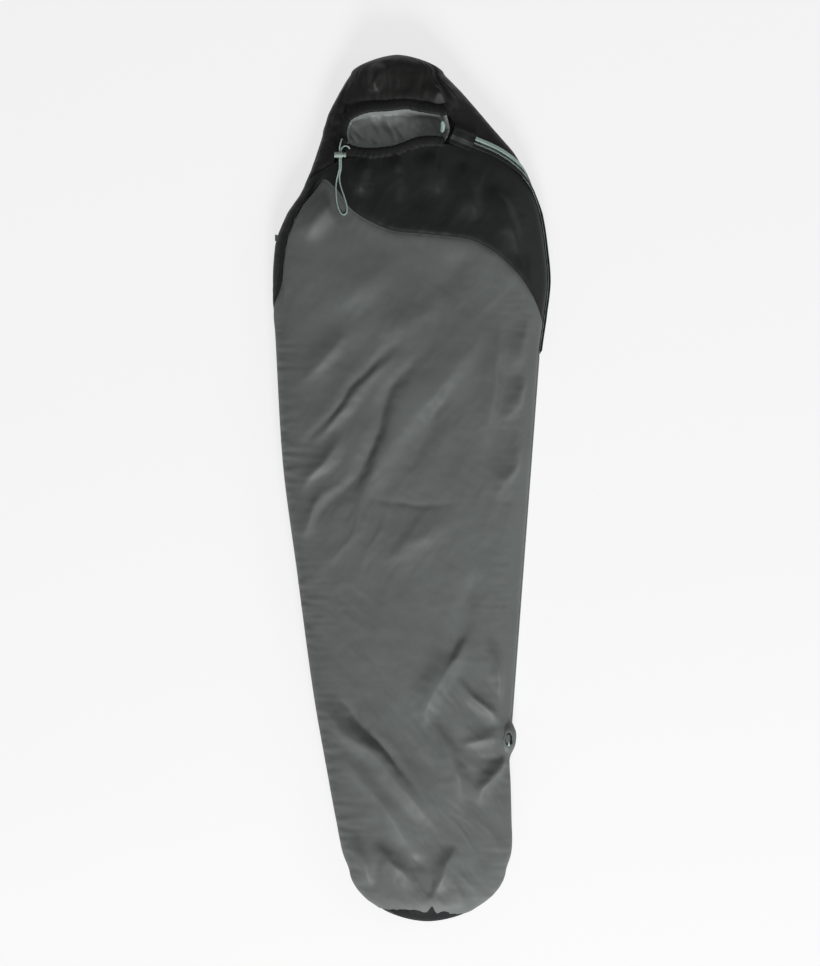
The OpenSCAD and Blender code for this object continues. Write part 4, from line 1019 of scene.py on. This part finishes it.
def hoodLining():
    look = liningLook
    closing = splinePath([hemPlaces[-1], (0.098, fromCrown(0.190), 0.088), hemPlaces[0]], 12)
    loop = evenPath(np.concatenate([hemPlaces, closing[1:]]), look["step"])[:-1]
    wave = gatherWave(np.arange(len(loop)) * look["step"], 21)
    leftX, rightX, middleY = look["middle"]
    midLine = np.column_stack([np.clip(loop[:, 0], leftX, rightX), np.full(len(loop), middleY)])
    foldLong, foldWide, foldHigh = look["fold"]
    fineLong, fineHigh = look["fine"]
    rows = np.linspace(0, 1, look["rings"])
    grid = np.zeros((len(loop), len(rows), 3))
    for j, r in enumerate(rows):
        x, y = (loop[:, :2] * (1 - r) + midLine * r).T
        depth = smooth(0, 0.42, r)
        z = (loop[:, 2] - look["rimDrop"]) * (1 - depth) + look["floorZ"] * depth
        crumpled = (foldHigh * ridged((x + look["lean"] * y) / foldLong, y / foldWide, 91)
                    + fineHigh * layered(x / fineLong, y / fineLong, 97)) * smooth(0.05, 0.5, r)
        grid[:, j] = np.column_stack([x, y, z + look["gathers"] * wave * math.exp(-r / 0.25) + crumpled])
    piece = makePiece("hoodLining", grid, gridFaces(*grid.shape[:2], closed=True, flip=True),
                      finish["lining"])
    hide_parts("lining_hood")


hoodLining()
print("hood ready")

# Zip
zipLook = {
    "tapeLow": [(0.0031, 0.0022), (0.0065, 0.0022), (0.010, 0.0012), (0.014, -0.0008)],    # across, out
    "tapeThick": 0.0008,
    "coilAcross": 0.00195, "coilOut": 0.0026, "coilRadius": 0.0011, "pitch": 0.0018, "toothLong": 0.0014,
    "seams": ((0.0058, 0.0032), (0.0098, 0.0023)),                                         # across, out
    "stitchPitch": 0.0028, "stitchLong": 0.0020, "stitchRadius": 0.00022,
}


def makeTapes():
    low = zipLook["tapeLow"]
    outline = low + [(a, n + zipLook["tapeThick"]) for a, n in low[::-1]]
    for name, node, side in (("zipTapeFront", "zip_tape_front", -1), ("zipTapeBack", "zip_tape_back", 1)):
        ring = np.array([(side * a, n) for a, n in outline])
        verts, faces, uvs = sweepMesh(zipPlaces[::2], zipOut[::2], lambda i: ring, flip=side < 0)
        piece = makePiece(name, verts, faces, finish["tape"])
        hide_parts(node)


makeTapes()


# Rows of small parts along a path: zip teeth and stitches
def buildRow():
    tree = bpy.data.node_groups.new("rowAlongPath", "GeometryNodeTree")
    tree.interface.new_socket("Geometry", in_out="INPUT", socket_type="NodeSocketGeometry")
    for label, value in (("Spacing", 0.004), ("Bead Length", 0.003), ("Bead Radius", 0.0003)):
        tree.interface.new_socket(label, in_out="INPUT", socket_type="NodeSocketFloat").default_value = value
    tree.interface.new_socket("Material", in_out="INPUT", socket_type="NodeSocketMaterial")
    tree.interface.new_socket("Geometry", in_out="OUTPUT", socket_type="NodeSocketGeometry")
    given, result = tree.nodes.new("NodeGroupInput"), tree.nodes.new("NodeGroupOutput")
    line = wire(tree, "GeometryNodeMeshToCurve", inputs={"Mesh": given.outputs["Geometry"]})
    even = wire(tree, "GeometryNodeResampleCurve", inputs={"Curve": line.outputs[0]})
    even.mode = "LENGTH"
    tree.links.new(given.outputs["Spacing"], even.inputs["Length"])
    bead = wire(tree, "GeometryNodeMeshUVSphere", inputs={"Segments": 8, "Rings": 5, "Radius": 1.0})
    halfLength = wire(tree, "ShaderNodeMath", {"operation": "MULTIPLY"}, {0: given.outputs["Bead Length"], 1: 0.5})
    size = wire(tree, "ShaderNodeCombineXYZ", inputs={
        "X": given.outputs["Bead Radius"], "Y": given.outputs["Bead Radius"], "Z": halfLength.outputs[0]})
    shaped = wire(tree, "GeometryNodeTransform", inputs={"Geometry": bead.outputs[0], "Scale": size.outputs[0]})
    tangent = wire(tree, "GeometryNodeInputTangent")
    turned = wire(tree, "FunctionNodeAlignRotationToVector", {"axis": "Z"}, {"Vector": tangent.outputs[0]})
    placed = wire(tree, "GeometryNodeInstanceOnPoints", inputs={
        "Points": even.outputs[0], "Instance": shaped.outputs[0], "Rotation": turned.outputs[0]})
    real = wire(tree, "GeometryNodeRealizeInstances", inputs={"Geometry": placed.outputs[0]})
    painted = wire(tree, "GeometryNodeSetMaterial", inputs={
        "Geometry": real.outputs[0], "Material": given.outputs["Material"]})
    tree.links.new(painted.outputs[0], result.inputs[0])
    return tree


rowTree = buildRow()


def rowAlong(name, lines, spacing, beadLength, beadRadius, material, body=bagBody, node=None):
    verts, edges = [], []
    for line in lines:
        start = len(verts)
        verts += [tuple(v) for v in line]
        edges += [(start + k, start + k + 1) for k in range(len(line) - 1)]
    path = bpy.data.meshes.new(name + "Path")
    path.from_pydata(verts, edges, [])
    holder = bpy.data.objects.new(name + "Path", path)
    bpy.context.scene.collection.objects.link(holder)
    modifier = holder.modifiers.new("row", "NODES")
    modifier.node_group = rowTree
    values = {"Spacing": spacing, "Bead Length": beadLength, "Bead Radius": beadRadius, "Material": material}
    for item in rowTree.interface.items_tree:
        if item.in_out == "INPUT" and item.name in values:
            modifier[item.identifier] = values[item.name]
    holder.update_tag()
    bpy.context.view_layer.update()
    graph = bpy.context.evaluated_depsgraph_get()
    mesh = bpy.data.meshes.new_from_object(holder.evaluated_get(graph))
    bpy.data.objects.remove(holder)
    mesh.shade_smooth()
    if not mesh.materials:
        mesh.materials.append(material)
    piece = bpy.data.objects.new(name, mesh)
    bpy.context.scene.collection.objects.link(piece)
    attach(piece, body)
    if node:
        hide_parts(node)
    print(name, len(mesh.polygons))
    return piece


def besideZip(across, out, low=0, high=None):
    up, side = framesAlong(zipPlaces, zipOut)[1:]
    return (zipPlaces + across * side + out * up)[low:high]


def makeZipDetails():
    for name, node, way in (("zipCoilFront", "zip_coil_front", -1), ("zipCoilBack", "zip_coil_back", 1)):
        line = besideZip(way * zipLook["coilAcross"], zipLook["coilOut"], 8)
        rowAlong(name, [line], zipLook["pitch"], zipLook["toothLong"], zipLook["coilRadius"], finish["coil"],
                 node=node)
    seams = [besideZip(way * a, n) for way in (-1, 1) for a, n in zipLook["seams"]]
    rowAlong("zipStitches", seams, zipLook["stitchPitch"], zipLook["stitchLong"], zipLook["stitchRadius"],
             finish["tape"])


makeZipDetails()
welt = {
    "across": -0.0103, "half": 0.0062, "high": 0.0022, "out": 0.0016,
    "legHalf": 0.00434, "legHigh": 0.00132,     # below the yoke it is slimmer and lies flat
    "turnsGrey": 0.330, "ripple": 0.16, "rippleLong": 0.012, "endFade": 0.006,
}
flap = {"low": 0.332, "high": 0.742, "across": -0.0010, "half": 0.0165, "thick": 0.0024, "out": 0.0040,
        "ripple": 0.14, "rippleLong": 0.05, "topFade": 0.16, "lowFade": 0.02}
binding = {"angle": -3.0, "radius": 0.0034, "flatness": 1.6, "low": -0.600, "high": 0.340, "ripple": 0.10,
           "rippleLong": 0.02, "endFade": 0.02}


def rippled(s, look, seed):
    return 1 + look["ripple"] * lattice(s / look["rippleLong"], 0.5 + 0 * s, seed)


def ovalAlong(name, places, outs, wide, high, sides, material):
    # A roll of cloth along a path: wide and high are its half sizes at each place
    turn = np.radians(np.arange(sides) * 360 / sides)
    verts, faces, uvs = sweepMesh(places, outs, lambda i: np.stack([np.cos(turn) * wide[i],
                                                                    np.sin(turn) * high[i]], -1))
    makePiece(name, verts, faces, finish[material])


def makeWelts():
    split = int(np.searchsorted(zipPlaces[:, 1], welt["turnsGrey"]))
    for name, low, high, out, half, tall, material in (
            ("zipWeltYoke", split, len(zipPlaces), welt["out"], welt["half"], welt["high"], "blackYoke"),
            ("zipWeltLeg", 0, split + 1, 0.0, welt["legHalf"], welt["legHigh"], "greyShell")):
        places = besideZip(welt["across"], out, low, high)
        s = np.concatenate([[0], np.cumsum(np.linalg.norm(np.diff(places, axis=0), axis=1))])
        ends = np.clip(np.minimum(s, s[-1] - s) / welt["endFade"], 0.05, 1) ** 0.5
        ovalAlong(name, places, zipOut[low:high], half * ends, tall * ends * rippled(s, welt, 101), 14,
                  material)


def makeFlap():
    # The yoke's edge rolls over the zip where it turns down the side
    pick = np.nonzero((zipPlaces[:, 1] > flap["low"]) & (zipPlaces[:, 1] < flap["high"]))[0]
    low, high = pick[0], pick[-1] + 1
    s = np.arange(high - low) / (high - low)
    narrow = np.clip((1 - s) / flap["topFade"], 0.04, 1) ** 0.6 * np.clip(s / flap["lowFade"], 0.2, 1)
    up, side = framesAlong(zipPlaces[low:high], zipOut[low:high])[1:]
    places = zipPlaces[low:high] + flap["across"] * side + flap["out"] * up
    ovalAlong("zipFlap", places, zipOut[low:high], flap["half"] * narrow,
              flap["thick"] * rippled(s, flap, 121) * narrow, 16, "blackYoke")


def makeBinding():
    # Grey binding along the right side seam, down to the vent
    ys = np.linspace(binding["low"], binding["high"], 420)
    angles = np.full(ys.shape, binding["angle"])
    fade = np.clip(np.minimum(ys - ys[0], ys[-1] - ys) / binding["endFade"], 0.05, 1) ** 0.5
    r = binding["radius"] * fade * rippled(ys, binding, 131)
    ovalAlong("sideBinding", surfacePoint(angles, ys), outwardAt(angles, ys), r * binding["flatness"], r, 12,
              "greyShell")


makeWelts()
makeFlap()
makeBinding()
print("zip ready")

# Neck tab over the top of the zip
stitch = {"pitch": 0.0036, "long": 0.0026, "radius": 0.00028, "lift": 0.0002}
tab = {"low": -0.0225, "high": 0.036, "thick": 0.0012, "corner": 0.006, "step": 0.0011, "sag": 0.0012,
       "profile": [(-0.0280, 0.0021), (-0.0220, 0.0021), (-0.0160, 0.0030), (-0.0105, 0.0105), (-0.0060, 0.0126),
                   (0.0000, 0.0131), (0.0065, 0.0126), (0.0120, 0.0078), (0.0165, 0.0012), (0.0198, -0.0001)]}
zipT = unit(zipTop - zipTurn)
zipN = zipOut[-1] - np.dot(zipOut[-1], zipT) * zipT
zipN = zipN / np.linalg.norm(zipN)
zipB = np.cross(zipT, zipN)


def sheetMesh(grid, thick):
    # A closed sheet: the grid, a copy below it, and a rim
    nc, nr = grid.shape[:2]
    under = grid - thick * normalsOf(grid)
    n = nc * nr
    faces = [list(f) for f in gridFaces(nc, nr)] + [[v + n for v in f[::-1]] for f in gridFaces(nc, nr)]
    rim = ([i * nr for i in range(nc)] + [(nc - 1) * nr + j for j in range(1, nr)]
           + [i * nr + nr - 1 for i in range(nc - 2, -1, -1)] + [j for j in range(nr - 2, 0, -1)])
    faces += [[rim[k], rim[k] + n, rim[(k + 1) % len(rim)] + n, rim[(k + 1) % len(rim)]] for k in range(len(rim))]
    return np.concatenate([grid.reshape(-1, 3), under.reshape(-1, 3)]), faces


def facing(grid, way):
    # The grid with its outer side towards way
    normals = normalsOf(grid)
    middle = normals[normals.shape[0] // 2, normals.shape[1] // 2]
    return grid if np.dot(middle, way) > 0 else grid[::-1]


def neckTab():
    profile = evenPath(splinePath([(a, n, 0) for a, n in tab["profile"]], 6), tab["step"])
    us = np.linspace(tab["low"], tab["high"], 48)
    grid = np.zeros((len(us), len(profile), 3))
    for i, u in enumerate(us):
        fromEnd = min(u - tab["low"], tab["high"] - u)
        cut = tab["corner"] * (1 - math.sqrt(max(0, 1 - max(0, 1 - fromEnd / tab["corner"]) ** 2)))
        for j, (a, n, _) in enumerate(profile):
            share = (a - profile[0, 0]) / (profile[-1, 0] - profile[0, 0])
            inward = cut * max(0, 1 - share * 4)
            sag = tab["sag"] * math.sin(9 * u / 0.056) * math.sin(math.pi * share)
            grid[i, j] = zipTop + u * zipT + (a + inward) * zipB + (n + sag) * zipN
    grid = facing(grid, zipN)
    verts, faces = sheetMesh(grid, tab["thick"])
    piece = makePiece("neckTab", verts, faces, finish["blackYoke"], body="tab")
    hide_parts("neck_tab")
    raised = grid + stitch["lift"] * normalsOf(grid)
    rows = [raised[3:-3, 3], raised[3:-3, -4], raised[3, 3:-4], raised[-4, 3:-4]]
    rowAlong("tabStitches", rows, 0.0030, 0.0021, 0.00024, finish["thread"], body="tab")


neckTab()


neckCloth = {"low": fromCrown(0.250), "high": fromCrown(0.170), "steps": 36, "sink": 0.0024,
             "leftX": (0.094, 0.104), "rightX": (0.185, 0.155)}


def neckFacing():
    # Black cloth on the wadding between the end of the hems, the hood and the yoke
    n = neckCloth["steps"]
    u, v = np.meshgrid(np.linspace(0, 1, n), np.linspace(0, 1, n), indexing="ij")
    y = neckCloth["low"] + u * (neckCloth["high"] - neckCloth["low"])
    left, right = (a + (b - a) * u for a, b in (neckCloth["leftX"], neckCloth["rightX"]))
    x = left * (1 - v) + right * v
    z = topZ(x, y) - neckCloth["sink"] + 0.0012 * lattice(x / 0.014, y / 0.05, 113)
    makePiece("neckFacing", facing(np.stack([x, y, z], -1), (0, 0, 1)), gridFaces(n, n), finish["hem"])


neckFacing()
endTurn = {"x": 0.0785, "y": 0.877, "z": 0.0870, "half": 0.0055, "long": 0.029, "lean": 0.003, "crown": 0.0030,
           "rise": 0.002, "thick": 0.0008}


def tapeEnd():
    # The zip tape's end, turned in at the right of the face opening
    u, v = np.meshgrid(np.linspace(0, 1, 10), np.linspace(0, 1, 22), indexing="ij")
    wide = endTurn["half"] * np.sqrt(np.clip(1 - (2 * v - 1) ** 4, 0.1, 1))
    grid = np.stack([endTurn["x"] + (2 * u - 1) * wide + endTurn["lean"] * np.sin(2.6 * v),
                     endTurn["y"] + endTurn["long"] * v,
                     endTurn["z"] + endTurn["crown"] * np.sin(math.pi * u) + endTurn["rise"] * v], -1)
    verts, faces = sheetMesh(facing(grid, (0, 0, 1)), endTurn["thick"])
    makePiece("tapeEnd", verts, faces, finish["tape"])


tapeEnd()
print("tab ready")

# Stitched seams on the shell: which rows of each panel
stitchRows = [("chestYoke", (1,)), ("hoodSideLeft", (1, -2)), ("hoodSideRight", (-2,)), ("hoodCrown", (2,)),
              ("frontPanel", (-2,))]


def makeStitches():
    rows = []
    for name, picks in stitchRows:
        raised = grids[name] + stitch["lift"] * normalsOf(grids[name])
        rows += [raised[2:-2, k] for k in picks]
    rowAlong("seamStitches", rows, stitch["pitch"], stitch["long"], stitch["radius"], finish["thread"])


makeStitches()
print("stitches ready")

# The zip's lower end and its vent
vent = {
    "y": -0.6215, "angle": 20.0, "long": 0.018, "wide": 0.0100, "points": 40,
    "lip": ((1.9, -0.004), (1.62, -0.0006), (1.36, 0.0022), (1.14, 0.0034), (0.98, 0.0030), (0.88, 0.0016)),
    "mouth": ((0.96, 0.0026), (0.80, 0.0008), (0.55, -0.0008), (0.25, -0.0014), (0.01, -0.0016)),  # share, out
    "tailTip": (-0.0040, 0.0024), "tailFoot": (-0.0170, 0.0034), "tailHalf": 0.0042, "tailThick": 0.0009,
}


def shellAt(name, angle, y):
    # The place on a finished panel nearest to an angle and a y, with its outward direction
    grid = grids[name]
    i = int(np.argmin(np.abs(topColumns - angle)))
    j = int(np.argmin(np.abs(grid[i, :, 1] - y)))
    return grid[i, j], normalsOf(grid)[i, j]


def makeVent():
    place, out = shellAt("frontPanel", vent["angle"], vent["y"])
    out = unit(out + np.array([0, 0, 0.4]))
    along = unit(np.array([0.0, 1.0, 0.0]) - out[1] * out)
    across = np.cross(along, out)
    turn = np.linspace(0, 2 * math.pi, vent["points"], endpoint=False)
    ragged = 1 + 0.10 * np.sin(3 * turn + 1.0) + 0.06 * np.sin(7 * turn)
    for name, levels, rough, material, slotName in (
            ("ventLip", vent["lip"], 0.06, "greyShell", "grey_shell"),
            ("ventMouth", vent["mouth"], 0.0, "hem", "hem_fabric")):
        grid = np.stack([place + (r * vent["long"] * np.cos(turn) * (1 - rough + rough * ragged))[:, None] * along
                         + (r * vent["wide"] * np.sin(turn) * ragged)[:, None] * across + n * out
                         for r, n in levels], 1)
        makePiece(name, grid, gridFaces(*grid.shape[:2], closed=True), finish[material])
    tip = place + vent["tailTip"][0] * along + vent["tailTip"][1] * out
    foot = place + vent["tailFoot"][0] * along + vent["tailFoot"][1] * out
    u, v = (a[..., None] for a in np.meshgrid(np.linspace(0.02, 1, 12), np.linspace(0, 1, 9), indexing="ij"))
    grid = (tip * (1 - u) + (foot + (2 * v - 1) * vent["tailHalf"] * across) * u
            + 0.0008 * np.sin(3 * math.pi * v) * u * out)
    verts, faces = sheetMesh(facing(grid, out), vent["tailThick"])
    makePiece("zipTail", verts, faces, finish["tape"])


makeVent()
print("vent ready")

# CAD nodes that stay in sight or inside, by finish
nodeFinish = {
    "cord": ["hem_cord"],
    "hem": ["cord_eyelets"],
    "lockPlastic": ["cord_lock_body", "cord_lock_button"],
    "steel": ["cord_lock_spring"],
    "sliderPaint": ["zip_top_stop", "zip_bottom_stop", "zip_slider_upper", "zip_slider_lower"],
    "tape": ["zip_pull_upper", "zip_pull_lower", "side_loop"],
    "patch": ["tab_hook_patch", "tab_loop_patch"],
    "lining": ["lining_back", "lining_front", "lining_foot", "draft_tube"],
    "wadding": ["insulation_back", "insulation_front", "insulation_side_left", "insulation_side_right",
                "insulation_foot", "insulation_crown", "insulation_hood_left", "insulation_hood_right"],
}
for material, names in nodeFinish.items():
    for name in names:
        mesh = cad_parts[name].data
        mesh.materials.clear()
        mesh.materials.append(finish[material])
